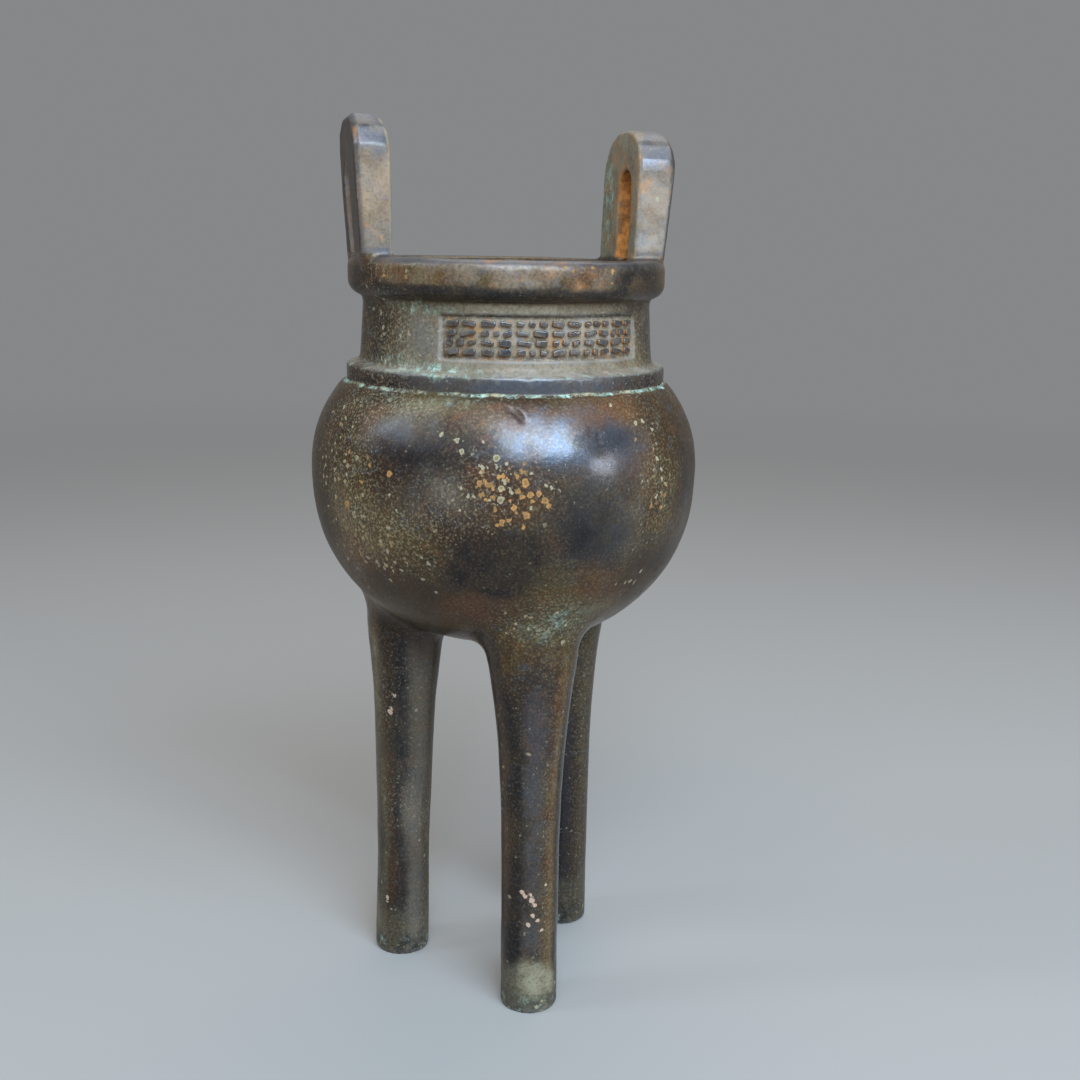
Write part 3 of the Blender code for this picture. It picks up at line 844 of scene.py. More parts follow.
def paintHandles(points, normals, masks):
    h = handlePaint
    across, up, right, out, side = handleGeometry(points)
    isRight = right > 0
    above = ramp(up, *h["start"])
    sideways = np.abs(normals[:, :2] @ side)
    outward = right * (normals[:, :2] @ out)
    half = handle["slotWidth"] / 2
    aboveSlot = np.maximum(0, up - handle["slotHeight"] + half)
    slotEdge = half - np.hypot(across + handle["slotOffset"], aboveSlot)
    inSlot = above * ramp(slotEdge, *h["slotEdge"]) * fall(np.abs(outward), 0.55, 0.85)
    plate = above * (1 - inSlot)
    sides = plate * ramp(sideways, 0.45, 0.8)
    head = plate * ramp(normals[:, 2], 0.3, 0.8)
    chamfer = plate * ramp(np.minimum(sideways, outward), 0.42, 0.60)
    inner = plate * ramp(-outward, 0.4, 0.7)
    outer = plate * ramp(outward, 0.74, 0.90)
    cloud = softField(points, 0.006, 61)
    low = fall(up, *h["footFade"])
    rubbed = hill(up, *h["rubbed"])
    shineUp = np.where(isRight, h["rightShine"], h["leftShine"])
    shine = hill(up, shineUp, h["shineHalf"]) * ramp(cloud, -1.0, -0.2)
    # painted shade: a dark line along the corner where the side turns into the head
    bendUp = np.where(isRight, h["rightBend"], h["leftBend"])
    bend = hill(up, bendUp, h["bendHalf"]) * ramp(cloud, -0.9, 0.0)
    shade = np.where(isRight, 0.72 + 0.28 * low, 0.38 + 0.16 * rubbed)
    shade = shade * (1 - np.where(isRight, 0.55, 0.85) * shine)
    bluish = cloudy(points, 0.0050, 63, 0.15, 0.55) * 0.5 * (1 - low * isRight)
    rusty = cloudy(points, 0.0022, 67, 0.50, 0.80) * 0.35
    spread(
        masks, sides, pale=shade + 0.12 * cloud, tan=0.9 * (1 - 0.8 * shine), warm=0.15, dark=bend,
        slate=shine * 1.1 + low * ~isRight * 0.35 + bluish, fleck=0.10 * isRight,
        rust=0.03 + np.where(isRight, 0.03, 0.10) * rubbed + rusty,
    )
    spread(masks, head, pale=np.where(isRight, 0.75, 0.30), tan=0.6, dark=bend)
    spread(masks, chamfer, slate=0.7, rust=~isRight * hill(up, *h["cornerRust"]) * 0.7)
    slotRust = hill(slotEdge, 0, h["slotRust"]) * ramp(cloud, -0.5, 0.5) * 0.6
    # the inner faces: tan, dust and crust, with pale clouds that are partly painted light from the left
    spread(
        masks, inner, tan=1.0, foot=0.8, dust=0.8, pale=0.65 * cloudy(points, 0.0045, 65, -0.8, 0.0),
        dark=0.35 * cloudy(points, 0.0030, 69, 0.45, 0.70),
        rust=slotRust + 0.35 * cloudy(points, 0.0026, 66, -0.1, 0.6),
    )
    # in the slots: warm tones, rust in the right one, with painted shadow under its arch
    spread(
        masks, inSlot, warm=1.0, tan=~isRight, rust=np.where(isRight, 2.0, 0.0),
        pale=np.where(isRight, -1.0, 0.8), dark=np.where(isRight, ramp(up, *h["slotHead"]), 0.15),
    )
    # the outer faces are painted dark and brown: partly patina, partly a painted dark reflection
    spread(masks, outer, dark=1.1, hollow=np.where(isRight, 0.9, 0.5), warm=0.9)
    crust = inner * hill(across * right, *h["crustAcross"]) * hill(up, *h["crustUp"])
    spread(masks, crust, green=3.0, fleck=0.5)
    blush = sides * isRight * hill(up, *h["blush"]) * cloudy(points, 0.0016, 68, 0.0, 0.5)
    spread(masks, blush, rust=0.30)
    sill = sides * hill(up, *h["sill"])
    masks["slate"] += sill * 0.9
    masks["pale"] *= 1 - 0.8 * sill


def paintBands(points, normals, masks):
    # ledge, neck, rim, and what the mouth and the inside show
    v = vessel
    direction, radius = around(points)
    z = points[:, 2]
    zones = ("front", "neckLeft", "rimShade", "rimLeft", "rimRust")
    front, neckLeft, rimShade, rimLeft, rimRust = (hill(direction, *bandPaint[zone], 4) for zone in zones)
    outside = ramp(radius, v["boreRadius"], v["boreRadius"] + 0.0012)
    # the inside below the rim is painted dark: soot, and painted shade where little light reaches in
    spread(masks, (1 - outside) * (z < v["rimTopZ"] - 0.0006), dark=0.7)
    ledge = outside * ramp(normals[:, 2], 0.35, 0.8)
    ledge *= ramp(z, v["ridgeTopZ"] - 0.0010, v["ridgeTopZ"] - 0.0003)
    ledge *= fall(z, v["neckFootZ"] + 0.0008, v["neckFootZ"] + 0.0020)
    spread(masks, ledge, tan=0.75, pale=0.95, dust=0.8, green=0.25)
    ridge = outside * (radius > v["ridgeRadius"] - 0.0012) * ramp(z, v["shoulderZ"], v["shoulderZ"] + 0.0006)
    ridge *= fall(z, v["ridgeTopZ"] - 0.0004, v["ridgeTopZ"])
    # painted light: the ridge's lit front is lighter and bluer, while its back gets dust and dark stains
    spread(masks, ridge, slate=0.1 + 0.9 * front, pale=0.40 * front)
    spread(masks, ridge * (1 - front), dust=0.45, warm=0.5, dark=0.85)
    neck = outside * ramp(z, v["neckFootZ"], v["neckFootZ"] + 0.001) * (radius < v["ridgeRadius"] - 0.001)
    neck *= fall(z, v["rimUnderZ"] - 0.0004, v["rimUnderZ"] + 0.0012)
    # painted light: the neck's lit front is lighter, against the shadow under the rim
    spread(masks, neck, tan=0.35 + 0.50 * front, pale=0.25 * front)
    stain = 0.35 * cloudy(points, 0.0040, 89, -0.6, 0.2)
    spread(masks, neck * (1 - front), dust=0.55, green=0.20, warm=0.5, dark=stain)
    neckFoot = neck * fall(z, v["neckFootZ"] + 0.0006, v["neckFootZ"] + 0.0030)
    spread(masks, neckFoot, tan=0.35, pale=0.20 + 0.30 * neckLeft, green=0.7 * neckLeft)
    # painted highlight: a bluish pale line along the top of the rim, partly bare bluish metal
    rimEdgeHighlight = outside * ramp(normals[:, 2], 0.3, 0.7) * ramp(z, v["rimTopZ"] - 0.0020, v["rimTopZ"] - 0.0012)
    spread(masks, rimEdgeHighlight * (radius > v["mouthRadius"]), slate=0.9, pale=0.25)
    rim = outside * ramp(z, v["rimUnderZ"], v["rimUnderZ"] + 0.001) * (z < v["rimTopZ"] + 0.0002)
    orange = cloudy(points, 0.0019, 87, 0.35, 0.65) * cloudy(points, 0.0090, 91, -0.2, 0.3)
    # painted light: the rim's pale clouds lie on its lit front only
    spread(
        masks, rim, warm=0.55 * cloudy(points, 0.0085, 81, -0.6, 0.5), rust=0.45 * orange * rimRust,
        tan=0.45 * cloudy(points, 0.0045, 83, -0.4, 0.4),
        pale=0.38 * front * cloudy(points, 0.0034, 85, -0.6, 0.3),
    )
    # painted shade: the rim's underside, facing down, is painted dark, most towards the left, and loses its
    # lighter colours
    rimUnderShade = outside * ramp(-normals[:, 2], 0.05, 0.55) * ramp(z, v["rimUnderZ"] - 0.0006, v["rimUnderZ"])
    rimUnderShade *= (z < v["rimTopZ"] - 0.003) * (0.55 + 0.45 * rimShade)
    # painted reflection: a dark band along the lower part of the rim, taller towards the left
    tall, taller, waves = bandPaint["lowRimReflection"]
    bandTop = v["rimUnderZ"] + tall + taller * rimLeft + waves * softField(points, 0.0060, 93)
    lowRimReflection = rim * ramp(bandTop - z, -0.0006, 0.0006) * (0.30 + 0.60 * rimLeft)
    masks["dark"] += rimUnderShade * 2.0 + lowRimReflection
    for key in ("tan", "pale", "warm", "rust", "ochre"):
        masks[key] *= (1 - 0.85 * rimUnderShade) * (1 - 0.6 * lowRimReflection)


def paintPanel(points, sunk, masks):
    inside, head = panelInside(points)
    border = hill(inside, 0, panel["line"])
    spread(masks, sunk, tan=1.0, dust=0.8, pale=0.15 + 0.35 * cloudy(points, 0.0024, 73, -0.4, 0.5))
    spread(masks, sunk * (1 - head * border), rust=0.40 * cloudy(points, 0.0013, 71, 0.15, 0.50))
    # painted light: a pale line along the lower and side borders
    spread(masks, border * (1 - head), tan=1.0, pale=0.7)
    # painted shadow: a dark line along the upper border
    spread(masks, border * head, dark=1.2)


def paintMasks(mesh, points, normals, carved, sunk):
    masks = {key: paintPatches(points, key) * (1 - sunk) for key in patches}
    clean = np.clip(masks["dark"], 0, 1) * (points[:, 2] < vessel["shoulderZ"] - patchPaint["stainTop"])
    masks["dust"] *= 1 - 0.8 * clean
    masks["fleck"] *= 1 - 0.6 * clean
    masks.update({key: np.zeros(len(points)) for key in ("pale", "rust", "foot")})
    paintLegs(points, masks)
    paintHandles(points, normals, masks)
    paintBands(points, normals, masks)
    paintPanel(points, sunk, masks)
    bend = np.einsum("ij,ij->i", points - smoothPoints(mesh, points, casting["bendRounds"]), normals)
    scale = casting["voxel"] * casting["bendScale"]
    masks["worn"] = ramp(bend, 0.15 * scale, scale)
    masks["hollow"] += ramp(-bend, 0.10 * scale, 0.8 * scale) + carved / skin["dirtyPit"]
    for key, values in masks.items():
        writeMask(mesh, key, values)
    print("painted", ", ".join(sorted(masks)))


def thinOut(piece, points):
    # few triangles inside the bowl, most on the handles and the panel
    heights, radii = zip(*sorted((z, r) for r, z in outsideProfile()))
    _, radius = around(points)
    z = points[:, 2]
    hidden = radius < np.interp(z, heights, radii) - vessel["bowlWall"] / 2
    hidden &= z > vessel["legHeight"] + casting["insideFrom"]
    hidden &= z < vessel["rimTopZ"] - casting["insideTo"]
    rich = z > vessel["rimTopZ"] + casting["handlesFrom"]
    rich |= panelInside(points)[0] > -casting["panelEdge"]
    group = piece.vertex_groups.new(name="thin")
    for chosen, weight in zip((hidden, ~hidden & ~rich, ~hidden & rich), casting["weights"]):
        group.add(np.nonzero(chosen)[0].tolist(), weight, "REPLACE")
    writePoints(piece.data, points * 1000)  # the thinning is done in millimetres, as it depends on size
    thin = piece.modifiers.new("thin", "DECIMATE")
    thin.ratio = min(1.0, casting["triangles"] / (2 * len(piece.data.polygons)))
    thin.vertex_group = group.name
    thin.vertex_group_factor = casting["weightShare"]
    settle(piece)
    writePoints(piece.data, readPoints(piece.data) / 1000)
    piece.vertex_groups.clear()
    print("inside", int(hidden.sum()), "outside", int((~hidden).sum()))


def fillHandleFeet(mesh, points, normals):
    # the crease where the plates stand on the rim becomes a small fillet
    _, radius = around(points)
    foot = ramp(np.abs(points[:, 2] - vessel["rimTopZ"]), *casting["creaseFade"])
    foot *= radius > vessel["mouthRadius"] - casting["creaseInside"]
    soft = smoothPoints(mesh, points, casting["creaseRounds"])
    hollow = np.einsum("ij,ij->i", soft - points, normals) > 0
    points += (foot * hollow)[:, None] * (soft - points)


def makeVessel():
    bm = bmesh.new()
    turnVessel(bm)
    for direction in leg["directions"]:
        shape = bmesh.new()
        raiseLeg(shape, direction)
        bmesh.ops.recalc_face_normals(shape, faces=shape.faces)
        addMesh(bm, shape)
    for side in ("right", "left"):
        raiseHandle(bm, side)
    print("shells ready", len(bm.faces))
    piece = castInOne("vesselCasting", bm, casting["voxel"], casting["smoothRounds"])
    mesh = piece.data
    print("cast", len(mesh.vertices))
    points = readPoints(mesh)
    blendLegs(points)
    writePoints(mesh, points)
    fillHandleFeet(mesh, points, readNormals(mesh))
    writePoints(mesh, points)
    normals = readNormals(mesh)
    unevenSkin(points, normals)
    sunk = sinkPanel(points)
    carved = carvePits(points, normals)
    carveFlaw(points, normals)
    flatFeet(points)
    keepInBox(points)
    writePoints(mesh, points)
    paintMasks(mesh, points, readNormals(mesh), carved, sunk)
    thinOut(piece, points)
    piece.data.shade_smooth()
    print("vessel", len(piece.data.polygons))
    return piece


strokes = {
    "groups": 6,
    # strokes in each row of a group
    "parts": ((2, 3, 2, 2), (2, 2, 3, 2), (3, 2, 2, 3), (2, 3, 2, 2), (3, 2, 2, 3), (2, 2, 3, 2)),
    "thickness": 0.00108,
    "relief": 0.00085,
    "root": 0.0004,
    "margin": 0.0007,
    "gap": 0.00090,
    "tilt": (3.0, 11.0),
    "tiltShare": {2: 0.9, 3: 1.5},  # more where a row has three strokes
    "spare": (1.2, 2.0),  # room left between groups, in margins
    "shares": (0.75, 1.35),
    "thickShare": (0.85, 1.15),
    "taper": (-0.35, 0.35),
    "bow": (-0.15, 0.15),
    "voxel": 0.00014,
    "smoothRounds": 5,
    "wornFrom": 0.0002,  # above the floor of the panel
    "wornTo": 0.0003,  # below the skin of the neck
    "wear": ((0.00006, 0.0009, 17), (0.00003, 0.0004, 19)),  # height and width of unevenness, seed
}


def shapeStroke(place, length, depth, thick, taper, bow):
    # brush-like: thinner at one end, slightly bowed
    bar = bmesh.new()
    bmesh.ops.create_cube(bar, size=1.0)
    bmesh.ops.subdivide_edges(bar, edges=bar.edges, cuts=7, use_grid_fill=True)
    for vert in bar.verts:
        vert.co.z = vert.co.z * (1 - taper * (vert.co.x + 0.5)) + bow * (0.25 - vert.co.x**2)
        vert.co.x *= 1 - 0.5 * vert.co.z**2
    bmesh.ops.transform(bar, matrix=place @ Matrix.Diagonal((length, depth, thick, 1.0)), verts=bar.verts)
    return bar


def makeStrokes():
    # rows of short raised strokes, in groups side by side
    chance = random.Random(5)
    bm = bmesh.new()
    pitch = (panel["width"] - 2 * strokes["margin"]) / strokes["groups"]
    rowPitch = (panel["height"] - 2 * strokes["margin"]) / len(strokes["parts"][0])
    low = vessel["neckFootZ"] + panel["aboveRidge"] + strokes["margin"]
    depth = strokes["root"] + strokes["relief"]
    middle = vessel["neckRadius"] - panel["depth"] - strokes["root"] + depth / 2
    for group, rows in enumerate(strokes["parts"]):
        for row, count in enumerate(rows):
            room = pitch - strokes["margin"] * chance.uniform(*strokes["spare"])
            along = (group + 0.5 - strokes["groups"] / 2) * pitch - room / 2
            shares = [chance.uniform(*strokes["shares"]) for _ in range(count)]
            z = low + (row + 0.5) * rowPitch
            for share in shares:
                length = (room - strokes["gap"] * (count - 1)) * share / sum(shares)
                lean = chance.choice((-1, 1)) * chance.uniform(*strokes["tilt"])
                tilt = math.radians(lean * strokes["tiltShare"][count])
                thick = strokes["thickness"] * chance.uniform(*strokes["thickShare"])
                taper, bow = chance.uniform(*strokes["taper"]), chance.uniform(*strokes["bow"])
                turn = Matrix.Rotation((along + length / 2) / vessel["neckRadius"], 4, "Z")
                place = turn @ Matrix.Translation((0, -middle, z)) @ Matrix.Rotation(tilt, 4, "Y")
                addMesh(bm, shapeStroke(place, length, depth, thick, taper, bow))
                along += length + strokes["gap"]
    piece = castInOne("panelStrokes", bm, strokes["voxel"], strokes["smoothRounds"])
    mesh = piece.data
    points, normals = readPoints(mesh), readNormals(mesh)
    wear = sum(height * softField(points, width, seed) for height, width, seed in strokes["wear"])
    points += normals * wear[:, None]
    writePoints(mesh, points)
    normals = readNormals(mesh)
    direction, radius = around(points)
    turn = np.radians(direction)
    leftward = -(normals[:, 0] * np.cos(turn) + normals[:, 1] * np.sin(turn))
    floor = vessel["neckRadius"] - panel["depth"]
    raised = ramp(radius, floor + strokes["wornFrom"], vessel["neckRadius"] - strokes["wornTo"])
    writeMask(mesh, "worn", 0.8 * raised)
    writeMask(mesh, "slate", 0.8 * raised)
    writeMask(mesh, "pale", 0.45 * raised * cloudy(points, 0.002, 23, -0.3, 0.4))
    writeMask(mesh, "hollow", 0.4 * (1 - raised))
    writeMask(mesh, "tan", 1 - raised)
    writeMask(mesh, "rust", ramp(0.8 * leftward - 0.6 * normals[:, 2], 0.0, 0.6) * (1.0 - 0.6 * raised))
    piece.data.shade_smooth()
    print("strokes", len(mesh.polygons))
    return piece


def addNode(tree, kind, inputs=None, **settings):
    made = tree.nodes.new("ShaderNode" + kind)
    for name, value in settings.items():
        setattr(made, name, value)
    for name, value in (inputs or {}).items():
        if isinstance(value, bpy.types.NodeSocket):
            tree.links.new(value, made.inputs[name])
        else:
            made.inputs[name].default_value = value
    return made


def noiseNode(tree, place, size, detail, rough, warp):
    # size is the width of its largest spots, in metres
    inputs = {"Vector": place, "Scale": 1 / size, "Detail": detail, "Roughness": rough, "Distortion": warp}
    return addNode(tree, "TexNoise", inputs).outputs["Fac"]


def between(tree, value, low, high, start=0.0, end=1.0):
    inputs = {"Value": value, "From Min": low, "From Max": high, "To Min": start, "To Max": end}
    return addNode(tree, "MapRange", inputs, interpolation_type="SMOOTHSTEP").outputs["Result"]


def mathNode(tree, operation, *values, clamp=False):
    return addNode(tree, "Math", dict(enumerate(values)), operation=operation, use_clamp=clamp).outputs[0]


def times(tree, a, b):
    return mathNode(tree, "MULTIPLY", a, b, clamp=True)


def plus(tree, a, b):
    return mathNode(tree, "ADD", a, b, clamp=True)


def minus(tree, a, b):
    return mathNode(tree, "SUBTRACT", a, b)


def timesPlus(tree, a, b, c):
    return mathNode(tree, "MULTIPLY_ADD", a, b, c)


def largest(tree, first, *others):
    for value in others:
        first = mathNode(tree, "MAXIMUM", first, value, clamp=True)
    return first


def vectorNode(tree, operation, inputs, output="Vector"):
    return addNode(tree, "VectorMath", inputs, operation=operation).outputs[output]


def blendColour(tree, share, below, above):
    made = addNode(tree, "Mix", data_type="RGBA")
    for index, value in ((0, share), (6, below), (7, above)):
        if isinstance(value, bpy.types.NodeSocket):
            tree.links.new(value, made.inputs[index])
        else:
            made.inputs[index].default_value = (*value, 1.0)
    return made.outputs[2]


def blendValue(tree, share, below, above):
    return addNode(tree, "Mix", {0: share, 2: below, 3: above}, data_type="FLOAT").outputs[0]


def maskNode(tree, name):
    return addNode(tree, "Attribute", attribute_name=name, attribute_type="GEOMETRY").outputs["Fac"]


def newMaterial(name):
    material = bpy.data.materials.new(name)
    material.use_nodes = True
    return material, material.node_tree, material.node_tree.nodes["Principled BSDF"]


patina = {
    "olive": (0.106, 0.069, 0.026),
    "brown": (0.058, 0.028, 0.009),
    "black": (0.012, 0.0115, 0.013),
    "warm": (0.175, 0.063, 0.019),
    "tan": (0.250, 0.180, 0.094),
    "foot": (0.310, 0.275, 0.175),
    "pale": (0.375, 0.305, 0.245),
    "blush": (0.420, 0.270, 0.190),
    "steel": (0.225, 0.240, 0.290),
    "slate": (0.090, 0.099, 0.121),
    "sage": (0.150, 0.175, 0.115),
    "cream": (0.430, 0.355, 0.215),
    "sand": (0.360, 0.235, 0.105),
    "ochre": (0.510, 0.240, 0.066),
    "darkOchre": (0.300, 0.160, 0.055),
    "ochreCore": (0.240, 0.115, 0.040),
    "ringCore": (0.250, 0.190, 0.080),
    "mint": (0.400, 0.560, 0.460),
    "rust": (0.680, 0.280, 0.065),
    "oldRust": (0.400, 0.160, 0.048),
    "rubbed": (0.210, 0.185, 0.155),
    "chip": (0.560, 0.370, 0.260),
    "speck": (0.400, 0.325, 0.195),
}

clouds = {
    # width of the largest spots in metres, detail, roughness, distortion
    "broad": (0.0300, 5.0, 0.60, 0.6),
    "mottle": (0.0075, 6.0, 0.65, 0.3),
    "flow": (0.0042, 5.0, 0.62, 0.0),
    "tint": (0.0034, 4.0, 0.75, 0.4),
    "broken": (0.0026, 5.0, 0.80, 0.0),
    "fine": (0.0016, 5.0, 0.70, 0.0),
    "grain": (0.0006, 3.0, 0.65, 0.0),
}

layers = {
    "skin": (  # clouds, the range over which they fade in, the most they cover, colour
        ("mottle", 0.47, 0.70, 0.60, "black"),
        ("tint", 0.53, 0.66, 0.45, "warm"),
        ("tint", 0.46, 0.33, 0.45, "slate"),
    ),
    "pale": (("tint", 0.54, 0.66, 0.70, "blush"), ("tint", 0.46, 0.35, 0.70, "steel")),
    "zones": (  # painted mask, clouds that break it up, their range, strength, colour
        ("warm", "mottle", 0.35, 0.60, 0.75, "warm"),
        ("tan", "mottle", 0.60, 0.38, 0.90, "tan"),
        ("pale", "mottle", 0.62, 0.40, 0.95, "pale"),
        ("slate", "mottle", 0.62, 0.42, 0.85, "slate"),
        ("foot", "mottle", 0.60, 0.40, 0.85, "foot"),
        ("green", "fine", 0.42, 0.60, 0.50, "sage"),
        ("dark", "mottle", 0.66, 0.40, 0.92, "black"),
    ),
    "lines": (  # verdigris in the creases: height, half width, range of the gaps, strength
        (vessel["shoulderZ"] + 0.00005, 0.00048, 0.42, 0.55, 0.95),
        (vessel["ridgeTopZ"] - 0.00010, 0.00050, 0.50, 0.64, 0.60),
        (vessel["neckFootZ"] + 0.00050, 0.00050, 0.54, 0.68, 0.50),
    ),
    "specks": {  # cell size, shift, radius and softness in cells, share of cells where the mask is 0 and 1
        "dust": (0.00068, (0.0, 0.0, 0.0), 0.40, 0.18, 0.04, 0.75),
        "fleck": (0.00145, (0.013, 0.004, 0.007), 0.40, 0.13, 0.006, 0.80),
        "ochre": (0.00170, (0.002, 0.009, 0.005), 0.34, 0.08, 0.0, 0.60),
    },
}

finish = {
    "bareRough": (0.26, 0.42),  # roughness, where the skin's clouds are low and high
    "stainRough": 0.24,
    "dustRough": 0.60,
    "crustRough": 0.85,
    "dusty": (("tan", 1.0), ("foot", 1.0), ("hollow", 1.0), ("warm", 0.5), ("pale", 0.7)),
    "metal": (0.35, 0.80),  # metal share of the skin and of the bluish bare places
    "specular": 0.24,
    "coat": 0.10,
    "coatRough": 0.15,
    "relief": (("mottle", 0.00012), ("fine", 0.000035), ("grain", 0.000010)),  # bump heights in metres
}

spots = {
    # the largest spots: direction in degrees, height, distance from the axis, radius, in millimetres
    "ochre": [
        (-22.7, 131.6, 45.9, 0.675), (-22.4, 133.2, 45.9, 0.45), (-20.3, 131.5, 45.9, 0.9),
        (-22.1, 129.4, 46, 0.675), (-20.8, 128.3, 46, 0.525), (-18.7, 126.4, 45.9, 0.525),
        (-16.7, 133.4, 45.7, 0.45), (-11.7, 134.3, 45.5, 0.525), (-10.7, 132, 45.8, 0.9),
        (-12.7, 130.2, 46, 0.6), (-9.6, 129.5, 46, 0.75), (-7.2, 129.7, 46, 0.75),
        (-5.6, 128.1, 46, 0.825), (-4.5, 127.1, 45.9, 0.6), (-10.5, 125, 45.8, 0.825),
        (-13.7, 126.7, 45.9, 0.6), (-16.8, 123.5, 45.8, 0.825), (-15, 124, 45.8, 0.6),
        (-18, 123, 45.8, 0.45), (-11.6, 129, 46, 0.525), (-65.3, 124, 45.8, 0.75),
        (-64.4, 122.9, 45.8, 0.45), (-55.6, 133.6, 45.6, 0.525), (-73.1, 141, 43.5, 0.525),
        (34.2, 126.6, 45.9, 0.6), (33.1, 124.4, 45.8, 0.6), (35, 129, 45.9, 0.375),
        (23.8, 139.7, 44.1, 0.45), (-48.7, 132.3, 45.8, 0.75),
    ],
    "ring": [
        (-18.6, 137.1, 44.9, 0.75), (-17, 130.6, 45.9, 0.675), (-14.8, 130.5, 46, 0.6),
        (-17.1, 128.4, 46, 0.675), (-34.1, 141.4, 43.3, 0.6), (-29.5, 140.3, 43.9, 0.6),
        (-27.8, 138.1, 44.6, 0.675), (-15.7, 135.9, 45.3, 0.525), (-22.7, 134.1, 45.6, 0.45),
        (-4, 131, 45.9, 0.45), (-22.3, 140.2, 43.9, 0.375), (-48.6, 127.8, 46, 0.45),
        (-62.5, 121.9, 45.7, 0.75), (-61, 134.6, 45.5, 0.6), (-9.3, 126.7, 45.9, 0.45),
        (-9.1, 133.9, 45.6, 0.375), (25.6, 142.9, 42.5, 0.6), (28.9, 143.2, 42.4, 0.45),
        (31.7, 141.2, 43.4, 0.45), (18.3, 147, 39.8, 0.375), (-39.6, 114.5, 44.1, 0.525),
        (-38, 113.2, 43.7, 0.45), (-41, 109.2, 42, 0.525), (-14.9, 111.4, 43.1, 0.375),
        (-37.7, 106, 40.5, 0.45), (-8.6, 100.9, 36.7, 0.6), (-6.4, 100.6, 36.5, 0.525),
        (-20.7, 135, 45.4, 0.375),
    ],
    "chip": [
        (-6.3, 31.6, 30.9, 0.675), (-5, 30.7, 31.2, 0.525), (-3, 31, 31.6, 0.525), (-2, 29.6, 31.7, 0.75),
        (-0.8, 28.4, 31.8, 0.6), (3.6, 33, 31.7, 0.375), (-1.6, 25.8, 31.7, 0.6), (-3.6, 23.3, 31.6, 0.6),
        (0.5, 24.4, 31.8, 0.525), (2.1, 21.7, 31.9, 0.4125), (-94.9, 71.3, 26.8, 0.45),
        (-97.1, 66.6, 27.9, 0.675), (-96.4, 67.6, 27.6, 0.45), (-100.9, 15.7, 28.7, 0.6),
        (-101.5, 14.6, 28.9, 0.375),
    ],
}


def spotField(tree, place, key):
    # distance to the edge of the nearest of the painted spots: below zero inside
    nearest = 1.0
    for direction, height, radius, size in spots[key]:
        centre = placeOn(direction, height / 1000, radius / 1000)
        away = vectorNode(tree, "DISTANCE", {0: place, 1: centre}, "Value")
        nearest = mathNode(tree, "MINIMUM", minus(tree, away, size / 1000), nearest)
    return nearest


def speckNode(tree, place, masks, name):
    # round spots, one in each cell; a cell's own random number says whether its spot shows
    size, shift, radius, soft, base, most = layers["specks"][name]
    moved = addNode(tree, "Mapping", {"Vector": place, "Location": shift}).outputs["Vector"]
    cells = addNode(tree, "TexVoronoi", {"Vector": moved, "Scale": 1 / size, "Randomness": 1.0})
    spot = between(tree, cells.outputs["Distance"], radius, radius - soft)
    pick = addNode(tree, "SeparateColor", {"Color": cells.outputs["Color"]}).outputs[0]
    share = plus(tree, times(tree, masks[name], most - base), base)
    return times(tree, spot, between(tree, minus(tree, share, pick), 0.0, 0.06)), pick


def lineNode(tree, value, middle, halfWidth):
    # 1 on a line of the given half width, 0 away from it
    away = mathNode(tree, "ABSOLUTE", minus(tree, value, middle))
    return between(tree, away, halfWidth, halfWidth * 0.35)


def layClouds(tree, colour, noise, name):
    for cloud, low, high, most, tone in layers[name]:
        colour = blendColour(tree, between(tree, noise[cloud], low, high, 0.0, most), colour, patina[tone])
    return colour


def groundLayers(tree, masks, noise):
    # cloudy brown casting skin, its painted zones, rubbed edges, and brown dirt with painted shade
    grain, fine = noise["grain"], noise["fine"]
    colour = blendColour(tree, between(tree, noise["broad"], 0.38, 0.62), patina["brown"], patina["olive"])
    colour = layClouds(tree, colour, noise, "skin")
    tones = {**patina, "pale": layClouds(tree, patina["pale"], noise, "pale")}
    for name, cloud, low, high, strength, tone in layers["zones"]:
        share = times(tree, masks[name], between(tree, noise[cloud], low, high, 0.45, 1.0))
        colour = blendColour(tree, times(tree, share, strength), colour, tones[tone])
    quiet = between(tree, largest(tree, masks["pale"], masks["slate"]), 0.1, 0.8, 1.0, 0.45)
    soot = times(tree, between(tree, grain, 0.50, 0.64, 0.0, 0.40), quiet)
    frost = plus(tree, times(tree, masks["dust"], 0.50), 0.18)
    frost = times(tree, times(tree, between(tree, grain, 0.49, 0.34), frost), quiet)
    frost = times(tree, frost, between(tree, masks["dark"], 0.3, 1.0, 1.0, 0.5))
    rub = times(tree, times(tree, masks["worn"], between(tree, fine, 0.34, 0.60)), 0.75)
    # brown where the hollow mask is: dirt in hollows and pits, and painted shade on the lower belly, its
    # sides and the handles' outer faces
    dirtAndShade = times(tree, times(tree, masks["hollow"], between(tree, fine, 0.30, 0.55)), 0.70)
    for share, tone in ((soot, "black"), (frost, "speck"), (rub, "rubbed"), (dirtAndShade, "brown")):
        colour = blendColour(tree, share, colour, patina[tone])
    return colour


